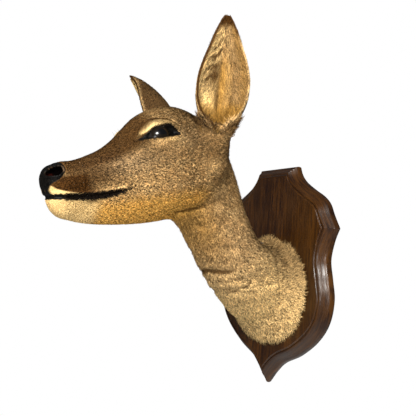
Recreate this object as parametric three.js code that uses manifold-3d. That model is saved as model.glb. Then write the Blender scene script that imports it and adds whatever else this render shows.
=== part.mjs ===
// Roe deer doe: head and neck mounted on a shield plaque, life size.
//
// Millimetres, +Z up. The origin is the middle of the plaque's flat back. The deer looks
// along -Y, and +X is the deer's own left. Every surface is the outside of the coat.
//
// The head and neck are one smooth body, written as a signed distance and turned into
// facets on a grid. Thin cuts then part it into head, lower jaw, nose pad and neck.
import * as THREE from 'three';
import { mergeVertices } from 'three/addons/utils/BufferGeometryUtils.js';
import Module from 'manifold-3d';

const wasm = await Module();
wasm.setup();

// ---- driving dimensions ----
const PLAQUE_HEIGHT = 250;
const PLAQUE_THICKNESS = 17;
const MOULDING_WIDTH = 9.5;
const HEAD_PITCH = 14.1;         // degrees, nose below the level
const HEAD_YAW = 8.6;            // degrees, nose turned to the deer's left
const NOSE_TIP = new THREE.Vector3(21.8, -300.4, 76.2);
const EAR_LENGTH = 130;
const EAR_WALL = 4.2;            // ear wall with its hair
const EAR_BOW = 2.4;             // sideways bow of the ear, towards the back
const GAP = 0.3;                 // clearance between neighbouring solids
const HEAD_GRID = 7.2;           // facet size of the head
const NECK_GRID = 10;           // facet size of the neck

// ---- small mathematics ----
const rad = THREE.MathUtils.degToRad;
const clamp = THREE.MathUtils.clamp;

// Smooth curve through [x, y] points, with level ends.
function curve(points) {
  const n = points.length;
  const slope = points.map((_, i) => {
    const a = points[Math.max(i - 1, 0)];
    const b = points[Math.min(i + 1, n - 1)];
    return (b[1] - a[1]) / (b[0] - a[0]);
  });
  return (x) => {
    if (x <= points[0][0]) return points[0][1];
    if (x >= points[n - 1][0]) return points[n - 1][1];
    let i = 0;
    while (x > points[i + 1][0]) i += 1;
    const h = points[i + 1][0] - points[i][0];
    const t = (x - points[i][0]) / h;
    const u = 1 - t;
    return points[i][1] * u * u * (1 + 2 * t) + slope[i] * h * t * u * u
      + points[i + 1][1] * t * t * (3 - 2 * t) - slope[i + 1] * h * t * t * u;
  };
}

// Union of two distances, blended over the width k.
function smoothMin(a, b, k) {
  const h = Math.max(k - Math.abs(a - b), 0) / k;
  return Math.min(a, b) - h * h * k / 4;
}

const smoothMax = (a, b, k) => -smoothMin(-a, -b, k);

// Distance to an ellipsoid, good near its surface.
function ellipsoid(x, y, z, centre, radii) {
  const px = (x - centre[0]) / radii[0];
  const py = (y - centre[1]) / radii[1];
  const pz = (z - centre[2]) / radii[2];
  const k0 = Math.hypot(px, py, pz);
  const k1 = Math.hypot(px / radii[0], py / radii[1], pz / radii[2]);
  return k1 < 1e-9 ? -Math.min(...radii) : k0 * (k0 - 1) / k1;
}

// ---- the head's own frame: back from the nose tip, out to the left, up ----
const turn = new THREE.Matrix4().makeRotationZ(rad(HEAD_YAW));
const nod = new THREE.Matrix4().makeRotationX(rad(HEAD_PITCH));
const headTurn = turn.multiply(nod);
const BACK = new THREE.Vector3(0, 1, 0).applyMatrix4(headTurn);
const LEFT = new THREE.Vector3(1, 0, 0).applyMatrix4(headTurn);
const UP = new THREE.Vector3(0, 0, 1).applyMatrix4(headTurn);
const headMatrix = new THREE.Matrix4().makeBasis(LEFT, BACK, UP).setPosition(NOSE_TIP);
const headInverse = headMatrix.clone().invert();
const headPoint = (s, l, z) => new THREE.Vector3(l, s, z).applyMatrix4(headMatrix);

// Profile of the head: [distance back from the nose tip, height or half width].
const topLine = curve([[-6, 8.5], [5, 9.7], [18, 12.4], [33, 13], [50, 16.6], [68, 22.5],
  [86, 32.5], [100, 43], [114, 52], [134, 58], [152, 59], [170, 54.5], [190, 41], [212, 12]]);
const bottomLine = curve([[-6, -28], [4, -31], [12, -38], [27, -45.6], [48, -51.5],
  [77, -56.8], [105, -60], [135, -60], [160, -53], [190, -40], [215, -30]]);
const halfWidth = curve([[-6, 12.5], [4, 13.8], [14, 15.6], [30, 16.4], [48, 18.4], [66, 22.5],
  [84, 28.5], [100, 34], [118, 36.5], [140, 35.5], [165, 33.5], [190, 32], [215, 29]]);
const widestAt = curve([[-6, -4], [14, -6], [40, -9], [70, -4], [100, 6], [130, 9],
  [170, 4], [215, 0]]);
const upperSquareness = curve([[-6, 2.4], [30, 2.3], [60, 2.1], [90, 1.85], [115, 1.9],
  [145, 2.15], [215, 2.1]]);
const lowerSquareness = curve([[-6, 2.2], [30, 1.9], [80, 1.75], [140, 1.9], [215, 2.1]]);
const muzzleFront = curve([[-40, 9], [-27, 2.6], [-17, 1.4], [-8, -1.2], [-1, -1], [6, 2.6], [11, 8]]);

function headBarrel(s, l, z) {
  const zw = widestAt(s);
  const above = z > zw;
  const h = above ? topLine(s) - zw : zw - bottomLine(s);
  const n = above ? upperSquareness(s) : lowerSquareness(s);
  const w = halfWidth(s);
  const r = Math.hypot(l, z - zw);
  if (r < 1e-6) return -Math.min(w, h);
  const f = Math.pow(Math.pow(Math.abs(l) / w, n) + Math.pow(Math.abs(z - zw) / h, n), 1 / n);
  return r * (1 - 1 / f);
}

// Bumps of bone and muscle on each side: centre, radii and blend, in the head's frame.
const HEAD_BUMPS = [
  { name: 'brow', centre: [122, 26, 31], radii: [20, 9.5, 8.5], blend: 12 },
  { name: 'cheekbone', centre: [118, 30, 12], radii: [34, 8, 9], blend: 18 },
  { name: 'jaw muscle', centre: [140, 25, -14], radii: [36, 15, 34], blend: 20 },
  { name: 'whisker pad', centre: [22, 8, -9], radii: [20, 9, 10], blend: 8 },
  { name: 'nose wing', centre: [8, 8.5, 2.5], radii: [9, 6.5, 8], blend: 5 },
  { name: 'chin', centre: [15, 3, -29], radii: [14, 9, 9], blend: 8 },
];

const FRONT_CURVE = 0.018;       // how fast the muzzle's front rounds off to each side, per mm
const FRONT_BLEND = 6;
const HEAD_BACK = 206;           // where the skull ends inside the neck
const BACK_BLEND = 16;

function headDistance(s, l, z) {
  const side = Math.abs(l);
  let d = headBarrel(s, l, z);
  for (const bump of HEAD_BUMPS) {
    d = smoothMin(d, ellipsoid(s, side, z, bump.centre, bump.radii), bump.blend);
  }
  const roundFront = muzzleFront(z) + l * l * FRONT_CURVE - s;
  d = smoothMax(d, roundFront, FRONT_BLEND);
  return smoothMax(d, s - HEAD_BACK, BACK_BLEND);
}

// ---- neck: an oval swept along a bent line from the skull to the board ----
const NECK_LINE = [[-134, 118], [-113, 87.5], [-92.6, 51], [-66.8, 13.3], [-40.5, -5.5],
  [-14, -12], [14, -12]];
const neckSpline = new THREE.CatmullRomCurve3(NECK_LINE.map(([y, z]) => new THREE.Vector3(0, y, z)));
const NECK_STEPS = 36;
const neckAxis = neckSpline.getPoints(NECK_STEPS);
const neckDepth = curve([[0, 36], [0.17, 43], [0.35, 38], [0.55, 40], [0.72, 51], [0.86, 66], [1, 70]]);
const neckWidth = curve([[0, 32], [0.17, 36], [0.35, 38], [0.55, 43], [0.72, 55], [0.86, 73], [1, 77]]);
const neckCentre = curve([[0, -5], [0.4, -3], [1, 0]]);

// The hair at the foot of the neck spreads over the board.
const SKIRT = { centre: [3, -12, -11], radii: [76, 15, 72], blend: 14 };

function neckDistance(x, y, z) {
  let best = Infinity;
  let at = 0;
  let across = 0;
  for (let i = 0; i < NECK_STEPS; i += 1) {
    const a = neckAxis[i];
    const b = neckAxis[i + 1];
    const ey = b.y - a.y;
    const ez = b.z - a.z;
    const length2 = ey * ey + ez * ez;
    const t = clamp(((y - a.y) * ey + (z - a.z) * ez) / length2, 0, 1);
    const dy = y - a.y - ey * t;
    const dz = z - a.z - ez * t;
    const gap = Math.hypot(dy, dz);
    if (gap < best) {
      best = gap;
      at = (i + t) / NECK_STEPS;
      across = gap * Math.sign(dz * ey - dy * ez);
    }
  }
  const dx = x - neckCentre(at);
  const r = Math.hypot(dx, across);
  const f = Math.hypot(dx / neckWidth(at), across / neckDepth(at));
  const tube = f < 1e-6 ? -neckWidth(at) : r * (1 - 1 / f);
  return smoothMin(tube, ellipsoid(x, y, z, SKIRT.centre, SKIRT.radii), SKIRT.blend);
}

// ---- ears ----
const EARS = [
  { name: 'ear_left',
    base: [33.4, -123.4, 138], axis: [0.135, -0.055, 0.99], opening: [0.84, -0.54, -0.08] },
  { name: 'ear_right',
    base: [-40.5, -134.5, 139], axis: [-0.655, -0.09, 0.75], opening: [-0.52, -0.8, -0.32] },
];
for (const ear of EARS) {
  ear.base = new THREE.Vector3(...ear.base);
  ear.axis = new THREE.Vector3(...ear.axis).normalize();
  ear.opening = new THREE.Vector3(...ear.opening);
  ear.opening.addScaledVector(ear.axis, -ear.opening.dot(ear.axis)).normalize();
  ear.side = new THREE.Vector3().crossVectors(ear.axis, ear.opening);
  ear.bow = EAR_BOW * Math.sign(ear.side.y);
}

// The ear's wall bends round a line: radius, half angle and forward shift along its length.
const earRadius = curve([[0, 12], [18, 18.5], [39, 25], [54, 26], [66, 25], [82, 21],
  [97, 15.6], [110, 10.8], [121, 6.4], [130, 2]]);
const earHalfAngle = curve([[0, 172], [12, 166], [18, 150], [26, 122], [45, 104], [70, 92],
  [100, 85], [130, 80]]);
const earShift = curve([[0, 0], [30, 5], [60, 9], [95, 7], [130, 3]]);

function earPoint(ear, v, angle, out) {
  const r = earRadius(v) + out;
  return ear.base.clone()
    .addScaledVector(ear.axis, v)
    .addScaledVector(ear.opening, earShift(v) - r * Math.cos(angle))
    .addScaledVector(ear.side, r * Math.sin(angle) + ear.bow * Math.sin(Math.PI * v / EAR_LENGTH));
}

// A short stump under the ear: a capsule from inside the skull to the ear's foot.
const STUMP = { from: -26, to: 2, radius: 16.5 };

function earRootDistance(ear, x, y, z) {
  const px = x - ear.base.x;
  const py = y - ear.base.y;
  const pz = z - ear.base.z;
  const along = clamp(px * ear.axis.x + py * ear.axis.y + pz * ear.axis.z, STUMP.from, STUMP.to);
  return Math.hypot(px - ear.axis.x * along, py - ear.axis.y * along, pz - ear.axis.z * along)
    - STUMP.radius;
}

const NECK_BLEND = 22;           // how softly the skull runs into the neck
const STUMP_BLEND = 14;
const local = new THREE.Vector3();

function bodyDistance(x, y, z) {
  local.set(x, y, z).applyMatrix4(headInverse);
  let d = headDistance(local.y, local.x, local.z);
  d = smoothMin(d, neckDistance(x, y, z), NECK_BLEND);
  for (const ear of EARS) d = smoothMin(d, earRootDistance(ear, x, y, z), STUMP_BLEND);
  return d;
}

// ---- facets of a distance field: one vertex in each grid cell that the surface crosses ----
function facets(field, low, high, step) {
  const distance = (x, y, z) => Math.max(field(x, y, z), low[0] + step - x, low[1] + step - y,
    low[2] + step - z, x - high[0] + step, y - high[1] + step, z - high[2] + step);
  const count = low.map((value, i) => Math.ceil((high[i] - value) / step) + 1);
  const [nx, ny, nz] = count;
  const value = new Float64Array(nx * ny * nz);
  const index = (i, j, k) => (k * ny + j) * nx + i;
  for (let k = 0; k < nz; k += 1) {
    for (let j = 0; j < ny; j += 1) {
      for (let i = 0; i < nx; i += 1) {
        value[index(i, j, k)] = distance(low[0] + i * step, low[1] + j * step, low[2] + k * step);
      }
    }
  }
  const cellVertex = new Int32Array(nx * ny * nz).fill(-1);
  const position = [];
  const gradientStep = 0.4;
  for (let k = 0; k < nz - 1; k += 1) {
    for (let j = 0; j < ny - 1; j += 1) {
      for (let i = 0; i < nx - 1; i += 1) {
        let crossings = 0;
        const sum = [0, 0, 0];
        for (let axis = 0; axis < 3; axis += 1) {
          for (let edge = 0; edge < 4; edge += 1) {
            const a = [i, j, k];
            a[(axis + 1) % 3] += edge & 1;
            a[(axis + 2) % 3] += edge >> 1;
            const b = [...a];
            b[axis] += 1;
            const va = value[index(...a)];
            const vb = value[index(...b)];
            if (va < 0 !== vb < 0) {
              const t = va / (va - vb);
              for (let m = 0; m < 3; m += 1) sum[m] += a[m] + (b[m] - a[m]) * t;
              crossings += 1;
            }
          }
        }
        if (crossings > 0) {
          cellVertex[index(i, j, k)] = position.length / 3;
          const p = sum.map((total, m) => low[m] + (total / crossings) * step);
          const d = distance(...p);
          const g = [0, 1, 2].map((m) => {
            const q = [...p];
            q[m] += gradientStep;
            return (distance(...q) - d) / gradientStep;
          });
          const g2 = g[0] * g[0] + g[1] * g[1] + g[2] * g[2];
          const pull = clamp(d / Math.max(g2, 0.2), -step / 2, step / 2);
          position.push(p[0] - g[0] * pull, p[1] - g[1] * pull, p[2] - g[2] * pull);
        }
      }
    }
  }
  const face = [];
  for (let k = 1; k < nz - 1; k += 1) {
    for (let j = 1; j < ny - 1; j += 1) {
      for (let i = 1; i < nx - 1; i += 1) {
        const inside = value[index(i, j, k)] < 0;
        for (let axis = 0; axis < 3; axis += 1) {
          const b = [i, j, k];
          b[axis] += 1;
          if (inside === value[index(...b)] < 0) continue;
          const quad = [[0, 0], [1, 0], [1, 1], [0, 1]].map(([p, q]) => {
            const c = [i, j, k];
            c[(axis + 1) % 3] -= p;
            c[(axis + 2) % 3] -= q;
            return cellVertex[index(...c)];
          });
          if (!inside) quad.reverse();
          face.push(quad[0], quad[1], quad[2], quad[0], quad[2], quad[3]);
        }
      }
    }
  }
  return solidFrom(position, face);
}

// ---- solids ----
function solidFrom(position, face) {
  return new wasm.Manifold(new wasm.Mesh({
    numProp: 3,
    vertProperties: new Float32Array(position),
    triVerts: new Uint32Array(face),
  }));
}

function solidFromGeometry(geometry, matrix) {
  const bare = geometry.index ? geometry.toNonIndexed() : geometry.clone();
  bare.deleteAttribute('normal');
  bare.deleteAttribute('uv');
  if (matrix) bare.applyMatrix4(matrix);
  const merged = mergeVertices(bare, 1e-4);
  return solidFrom([...merged.attributes.position.array], [...merged.index.array]);
}

function boxInHead(low, high, grow) {
  const size = high.map((value, i) => value - low[i] + 2 * grow);
  const box = new THREE.BoxGeometry(size[1], size[0], size[2]);
  const middle = high.map((value, i) => (value + low[i]) / 2);
  const place = new THREE.Matrix4().makeTranslation(middle[1], middle[0], middle[2]);
  return solidFromGeometry(box, place.premultiply(headMatrix));
}

// A solid with its corners moved out along their normals by a clearance.
function swollen(solid, distance) {
  const mesh = solid.getMesh();
  const geometry = geometryFrom(mesh);
  geometry.computeVertexNormals();
  const p = geometry.attributes.position.array;
  const n = geometry.attributes.normal.array;
  return solidFrom(p.map((value, i) => value + n[i] * distance), mesh.triVerts);
}

function geometryFrom(mesh) {
  const position = new Float32Array((mesh.vertProperties.length / mesh.numProp) * 3);
  for (let i = 0; i < position.length / 3; i += 1) {
    for (let m = 0; m < 3; m += 1) position[i * 3 + m] = mesh.vertProperties[i * mesh.numProp + m];
  }
  const geometry = new THREE.BufferGeometry();
  geometry.setAttribute('position', new THREE.BufferAttribute(position, 3));
  geometry.setIndex(new THREE.BufferAttribute(new Uint32Array(mesh.triVerts), 1));
  return geometry;
}

const mount = new THREE.Group();
mount.name = 'roe_deer_shoulder_mount';

function addSolid(name, solid, color, roughness) {
  const material = new THREE.MeshStandardMaterial({ color, roughness, metalness: 0 });
  const mesh = new THREE.Mesh(geometryFrom(solid.getMesh()), material);
  mesh.name = name;
  mount.add(mesh);
}

// ---- head and neck ----
const wholeHead = facets(bodyDistance, [-96, -318, -16], [96, -60, 196], HEAD_GRID);
const wholeNeck = facets(bodyDistance, [-102, -200, -110], [102, 8, 200], NECK_GRID);

// The neck begins behind the jaw and below the ears.
const NECK_CUT_POINT = new THREE.Vector3(0, -106, 104);
const NECK_CUT_NORMAL = new THREE.Vector3(0, 0.76, -0.65).normalize();
const n = NECK_CUT_NORMAL.toArray();
const cutAt = NECK_CUT_NORMAL.dot(NECK_CUT_POINT);
const skull = wholeHead.trimByPlane(n.map((value) => -value), -cutAt + GAP / 2);
let neck = wholeNeck.trimByPlane(n, cutAt + GAP / 2).trimByPlane([0, -1, 0], PLAQUE_THICKNESS + GAP);

// Mouth: the lower jaw is what lies under the lip line and in front of the mouth's corner.
const MOUTH_LOW = [-30, -60, -90];
const MOUTH_HIGH = [79, 60, -19.8];
const lowerJaw = skull.intersect(boxInHead(MOUTH_LOW, MOUTH_HIGH, -GAP / 2));
let head = skull.subtract(boxInHead(MOUTH_LOW, MOUTH_HIGH, GAP / 2));

// Nose pad: the bare black skin between and in front of the nostrils.
const PAD_LOW = [-30, -60, -15];
const PAD_HIGH = [6.5, 60, 40];
const nosePad = head.intersect(boxInHead(PAD_LOW, PAD_HIGH, -GAP / 2));
head = head.subtract(boxInHead(PAD_LOW, PAD_HIGH, GAP / 2));

// Eyes: glass, a little flattened where the lids close on them.
const EYE_PLACE = { s: 112.5, l: 29, z: 29.5 };
const EYE_RADII = [12.4, 14, 8];  // across the head, along it, up
const EYE_TILT = 13;
for (const [name, side] of [['eye_left', 1], ['eye_right', -1]]) {
  const shape = new THREE.Matrix4().makeRotationX(rad(EYE_TILT));
  shape.scale(new THREE.Vector3(...EYE_RADII));
  const place = headMatrix.clone();
  place.multiply(new THREE.Matrix4().makeTranslation(side * EYE_PLACE.l, EYE_PLACE.s, EYE_PLACE.z));
  place.multiply(shape);
  const ball = solidFromGeometry(new THREE.SphereGeometry(1, 14, 9), place);
  head = head.subtract(swollen(ball, GAP));
  addSolid(name, ball, 0x0b0806, 0.05);
}

// ---- ears: a curved wall, closed at its rim, standing on its root ----
const EAR_ROWS = 14;
const EAR_COLUMNS = 10;
const EAR_SUNK = 10;             // how far the ear's foot reaches into its stump
const TIP_THINNING = 50;         // the wall thins over this length towards the tip

function earSolid(ear) {
  const position = [];
  const face = [];
  const ring = 2 * (EAR_COLUMNS + 1);
  for (let row = 0; row <= EAR_ROWS; row += 1) {
    const v = EAR_LENGTH * (row / EAR_ROWS) - EAR_SUNK * (1 - row / EAR_ROWS);
    const wide = rad(earHalfAngle(v));
    for (let column = 0; column < ring; column += 1) {
      const outer = column <= EAR_COLUMNS;
      const step = outer ? column : ring - 1 - column;
      const angle = wide * (2 * step / EAR_COLUMNS - 1);
      const thin = Math.min(1, 0.45 + (EAR_LENGTH - v) / TIP_THINNING);
      position.push(...earPoint(ear, v, angle, (outer ? 0.5 : -0.5) * EAR_WALL * thin).toArray());
    }
  }
  for (let row = 0; row < EAR_ROWS; row += 1) {
    for (let column = 0; column < ring; column += 1) {
      const a = row * ring + column;
      const b = row * ring + ((column + 1) % ring);
      face.push(a, b + ring, b, a, a + ring, b + ring);
    }
  }
  const top = EAR_ROWS * ring;
  for (let column = 0; column < EAR_COLUMNS; column += 1) {
    const inner = ring - 1 - column;
    face.push(column, inner - 1, inner, column, column + 1, inner - 1);
    face.push(top + column, top + inner, top + inner - 1);
    face.push(top + column, top + inner - 1, top + column + 1);
  }
  return solidFrom(position, face);
}

const headRoom = swollen(head, GAP);
for (const ear of EARS) {
  addSolid(ear.name, earSolid(ear).subtract(headRoom), 0x9a7447, 0.85);
}

addSolid('head', head, 0x8a6a45, 0.9);
addSolid('lower_jaw', lowerJaw, 0xc9a468, 0.9);
addSolid('nose_pad', nosePad, 0x17130f, 0.45);

// ---- plaque: a shield with an ogee moulding round its front edge ----
const SHIELD_TOP = [[32.5, 125], [36.5, 116], [45, 107], [60, 97.5], [74.5, 89.5], [84, 81],
  [91, 68], [99.5, 54]];
const SHIELD_SIDE = [[99.5, 54], [93, 40], [88.6, 20], [92.5, 0], [96.5, -22], [91.5, -47],
  [76.5, -68], [52, -86.5], [27, -98.5], [13, -110], [0, -125]];

function shieldOutline() {
  const spline = (points, steps) => new THREE.SplineCurve(points.map((p) => new THREE.Vector2(...p)))
    .getSpacedPoints(steps);
  const half = [...spline(SHIELD_TOP, 10), ...spline(SHIELD_SIDE, 22).slice(1)];
  const mirrored = half.slice(0, -1).reverse().map((p) => new THREE.Vector2(-p.x, p.y));
  return [...half, ...mirrored].reverse();
}

// Outline moved in by a distance, corner by corner.
function inset(points, distance) {
  return points.map((p, i) => {
    const before = points[(i + points.length - 1) % points.length];
    const after = points[(i + 1) % points.length];
    const a = new THREE.Vector2().subVectors(p, before).normalize();
    const b = new THREE.Vector2().subVectors(after, p).normalize();
    const normal = new THREE.Vector2(-a.y - b.y, a.x + b.x).normalize();
    const cosine = Math.max(normal.dot(new THREE.Vector2(-a.y, a.x)), 0.35);
    return new THREE.Vector2(p.x + normal.x * distance / cosine, p.y + normal.y * distance / cosine);
  });
}

// Moulding from the back to the front face: [distance in from the edge, height from the back].
const MOULDING = [[3, 0], [1, 1], [0, 3.4], [0, 6.6], [0.9, 9], [2.6, 10.4], [4.2, 12.2],
  [6.6, 15.2], [8.3, 16.2], [MOULDING_WIDTH, PLAQUE_THICKNESS]];

function plaqueSolid() {
  const outline = shieldOutline();
  const count = outline.length;
  const position = [];
  const face = [];
  for (const [inward, height] of MOULDING) {
    for (const p of inset(outline, inward)) position.push(p.x, -height, p.y);
  }
  for (let level = 0; level < MOULDING.length - 1; level += 1) {
    for (let i = 0; i < count; i += 1) {
      const a = level * count + i;
      const b = level * count + ((i + 1) % count);
      face.push(a, b, b + count, a, b + count, a + count);
    }
  }
  const lastLevel = (MOULDING.length - 1) * count;
  const capOf = (level) => THREE.ShapeUtils.triangulateShape(inset(outline, MOULDING[level][0]), []);
  for (const [a, b, c] of capOf(0)) face.push(a, c, b);
  for (const [a, b, c] of capOf(MOULDING.length - 1)) {
    face.push(lastLevel + a, lastLevel + b, lastLevel + c);
  }
  return solidFrom(position, face);
}

// Two countersunk wood screws go in from the back and draw the neck onto the board.
const SCREW_HEIGHTS = [34, -46];
const SCREW_LENGTH = 42;
const SCREW_HEAD = { radius: 4.4, depth: 3, below: 0.2, slotWidth: 1.1, slotDepth: 1 };
const SHANK_RADIUS = 2;
const SCREW_POINT = 6;           // length of the point
const SCREW_SIDES = 12;
const SLOT_TURN = 28;            // degrees the slots stand from level

function screwSolid(height) {
  const profile = [[0, SCREW_LENGTH], [SHANK_RADIUS, SCREW_LENGTH - SCREW_POINT],
    [SHANK_RADIUS, SCREW_HEAD.depth], [SCREW_HEAD.radius, 0], [0, 0]];
  const rings = profile.map(([r, depth]) => new THREE.Vector2(r, -depth));
  const lathe = new THREE.LatheGeometry(rings, SCREW_SIDES);
  const place = new THREE.Matrix4().makeTranslation(0, -SCREW_HEAD.below, height);
  return solidFromGeometry(lathe, place);
}

function slotSolid(height) {
  const slot = new THREE.BoxGeometry(2 * SCREW_HEAD.radius + 1, 2 * SCREW_HEAD.slotDepth,
    SCREW_HEAD.slotWidth);
  const place = new THREE.Matrix4().makeTranslation(0, -SCREW_HEAD.below, height);
  return solidFromGeometry(slot, place.multiply(new THREE.Matrix4().makeRotationY(rad(SLOT_TURN))));
}

let board = plaqueSolid();
SCREW_HEIGHTS.forEach((height, i) => {
  const screw = screwSolid(height);
  board = board.subtract(swollen(screw, GAP));
  neck = neck.subtract(swollen(screw, GAP));
  addSolid(`screw_${i + 1}`, screw.subtract(slotSolid(height)), 0x8f8d88, 0.4);
});
addSolid('neck', neck, 0xa8824f, 0.95);
addSolid('plaque_board', board, 0x3a2212, 0.3);

export default mount;
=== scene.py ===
import json
import math
import bmesh
import bpy
import numpy as np
from mathutils import Matrix, Vector


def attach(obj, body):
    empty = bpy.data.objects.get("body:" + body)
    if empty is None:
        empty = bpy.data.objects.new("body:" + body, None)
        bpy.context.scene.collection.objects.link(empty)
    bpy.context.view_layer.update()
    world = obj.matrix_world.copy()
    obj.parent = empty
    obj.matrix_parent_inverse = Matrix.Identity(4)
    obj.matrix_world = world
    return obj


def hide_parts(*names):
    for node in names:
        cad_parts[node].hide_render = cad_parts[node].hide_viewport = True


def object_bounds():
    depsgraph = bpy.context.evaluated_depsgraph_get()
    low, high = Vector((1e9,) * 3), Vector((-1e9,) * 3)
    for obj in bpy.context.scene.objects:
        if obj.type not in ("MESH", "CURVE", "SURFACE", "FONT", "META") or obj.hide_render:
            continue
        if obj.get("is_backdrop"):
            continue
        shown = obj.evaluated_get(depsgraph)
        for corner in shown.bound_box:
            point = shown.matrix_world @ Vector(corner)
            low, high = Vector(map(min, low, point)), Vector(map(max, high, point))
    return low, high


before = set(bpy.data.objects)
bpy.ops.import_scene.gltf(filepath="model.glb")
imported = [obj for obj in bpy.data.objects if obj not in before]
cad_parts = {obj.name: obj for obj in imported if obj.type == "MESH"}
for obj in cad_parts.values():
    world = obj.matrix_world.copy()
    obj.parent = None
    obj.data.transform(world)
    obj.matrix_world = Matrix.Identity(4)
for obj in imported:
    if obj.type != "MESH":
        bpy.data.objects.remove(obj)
cad_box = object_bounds()


# ---- Plaque board ----
# An oak shield with a shaped front edge, stained dark red-brown and varnished until it shines.
# The field is one plank with upright grain; the moulding is carved from strips that meet in a
# mitre at each shoulder. Its sizes are in millimetres, as those of all later pieces are.
MM = 0.001
SHIELD_TOP = [(32.5, 125), (36.5, 116), (45, 107), (60, 97.5), (74.5, 89.5), (84, 81), (91, 68), (99.5, 54)]
SHIELD_SIDE = [(99.5, 54), (93, 40), (88.6, 20), (92.5, 0), (96.5, -22), (91.5, -47), (76.5, -68),
               (52, -86.5), (27, -98.5), (13, -110), (0, -125)]
# Each step of the moulding from the back to the field: distance in from the edge, height.
MOULDING = [(3.4, 0), (3, 0), (0.8, 1.2), (0, 3.4), (0, 6.4), (0.7, 8.6), (2.4, 10.2), (4.2, 12.1),
            (6.3, 14.9), (8, 16.4), (9.4, 16.9), (10.3, 16.3), (11, 15.9), (11.7, 16.3), (12.4, 17),
            (13.4, 17)]
FIELD_FROM = 11.0        # how far in the moulding ends
SHOULDER = (99.5, 54)    # where two strips of the moulding meet
FACE_MIDDLE = (10, 30)   # the flat faces' middle: its height, and what counts as its distance in
SHARP_EDGE = 38          # degrees between two faces from which their edge stays sharp


def spline(points, steps):
    """A smooth line through points, with steps pieces between each two."""
    points = np.array(points, float)
    last = len(points) - 1
    line = []
    for i in range(last):
        a, b, c, d = points[max(i - 1, 0)], points[i], points[i + 1], points[min(i + 2, last)]
        for t in np.arange(steps) / steps:
            line.append(0.5 * (2 * b + (c - a) * t + (2 * a - 5 * b + 4 * c - d) * t ** 2
                               + (3 * b - a - 3 * c + d) * t ** 3))
    line.append(points[last])
    return np.array(line)


def moved_in(outline, distance):
    """A closed outline moved inwards. Points that would pass a corner's mitre stay on it: they are
    those that end up nearer to the outline than distance."""
    least_cosine, near_enough, slack = 0.35, 0.985, 0.02
    before = outline - np.roll(outline, 1, axis=0)
    after = np.roll(outline, -1, axis=0) - outline
    before /= np.linalg.norm(before, axis=1)[:, None]
    after /= np.linalg.norm(after, axis=1)[:, None]
    normal = np.stack([-(before + after)[:, 1], (before + after)[:, 0]], axis=1)
    normal /= np.linalg.norm(normal, axis=1)[:, None]
    square = np.stack([-before[:, 1], before[:, 0]], axis=1)
    cosine = np.maximum((normal * square).sum(axis=1), least_cosine)
    inner = outline + normal * (distance / cosine)[:, None]
    gap = np.linalg.norm(inner[:, None] - outline[None], axis=2).min(axis=1)
    sound = np.flatnonzero(gap > near_enough * distance - slack)
    steps = np.abs(np.arange(len(outline))[:, None] - sound[None])
    nearest = sound[np.minimum(steps, len(outline) - steps).argmin(axis=1)]
    return inner[nearest]


def mesh_piece(name, points, faces, material, smooth=True):
    """A new object from points in millimetres and faces of one size, at the origin."""
    faces = np.asarray(faces, np.int32)
    mesh = bpy.data.meshes.new(name)
    mesh.vertices.add(len(points))
    mesh.vertices.foreach_set("co", (np.asarray(points, np.float32) * np.float32(MM)).ravel())
    mesh.loops.add(faces.size)
    mesh.loops.foreach_set("vertex_index", faces.ravel())
    mesh.polygons.add(len(faces))
    mesh.polygons.foreach_set("loop_start", np.arange(0, faces.size, faces.shape[1], dtype=np.int32))
    mesh.polygons.foreach_set("use_smooth", np.full(len(faces), smooth))
    mesh.update(calc_edges=True)
    mesh.materials.append(material)
    piece = bpy.data.objects.new(name, mesh)
    bpy.context.scene.collection.objects.link(piece)
    return piece


def point_values(piece, name, values):
    """Writes one number for each point of a piece, for its material to read."""
    layer = piece.data.attributes.new(name, "FLOAT", "POINT")
    layer.data.foreach_set("value", np.asarray(values, np.float32).ravel())


def point_vectors(piece, name, values):
    """A vector at each point of a piece, in metres from millimetres."""
    layer = piece.data.attributes.new(name, "FLOAT_VECTOR", "POINT")
    layer.data.foreach_set("vector", (np.asarray(values, np.float32) * np.float32(MM)).ravel())


def new_material(name):
    """A material with one Principled shader: gives the material, its node tree and the shader."""
    material = bpy.data.materials.new(name)
    material.use_nodes = True
    tree = material.node_tree
    return material, tree, tree.nodes["Principled BSDF"]


def feed(tree, made, inputs):
    """Sets a node's inputs: each to a value, or to another node's output."""
    for key, value in inputs.items():
        if isinstance(value, bpy.types.NodeSocket):
            tree.links.new(value, made.inputs[key])
        else:
            made.inputs[key].default_value = value


def node(tree, kind, inputs=None, **settings):
    """Adds a node, sets its properties, then its inputs."""
    made = tree.nodes.new(kind)
    for key, value in settings.items():
        setattr(made, key, value)
    feed(tree, made, inputs or {})
    return made


def calculated(tree, operation, a, b, clamp=False):
    return node(tree, "ShaderNodeMath", {0: a, 1: b}, operation=operation, use_clamp=clamp).outputs[0]


def product(tree, a, b):
    return calculated(tree, "MULTIPLY", a, b)


def sum_of(tree, first, *others):
    for other in others:
        first = calculated(tree, "ADD", first, other)
    return first


def mixed(tree, factor, a, b, blend="MIX"):
    """A colour mix; a and b are colours or outputs."""
    made = node(tree, "ShaderNodeMix", data_type="RGBA", blend_type=blend)
    feed(tree, made, {0: factor, 6: a, 7: b})
    return made.outputs[2]


def attribute(tree, name, output="Fac"):
    return node(tree, "ShaderNodeAttribute", attribute_name=name).outputs[output]


def object_place(tree):
    return node(tree, "ShaderNodeTexCoord").outputs["Object"]


def ramp(tree, value, low, high):
    """0 below low, 1 above high, smooth between."""
    made = node(tree, "ShaderNodeMapRange", {"Value": value, "From Min": low, "From Max": high},
                interpolation_type="SMOOTHSTEP")
    return made.outputs["Result"]


def laid_out(tree, value, least, most, low=0.0, high=1.0):
    """From least where a value is low to most where it is high."""
    made = node(tree, "ShaderNodeMapRange", {"Value": value, "From Min": low, "From Max": high,
                                             "To Min": least, "To Max": most})
    return made.outputs["Result"]


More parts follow.
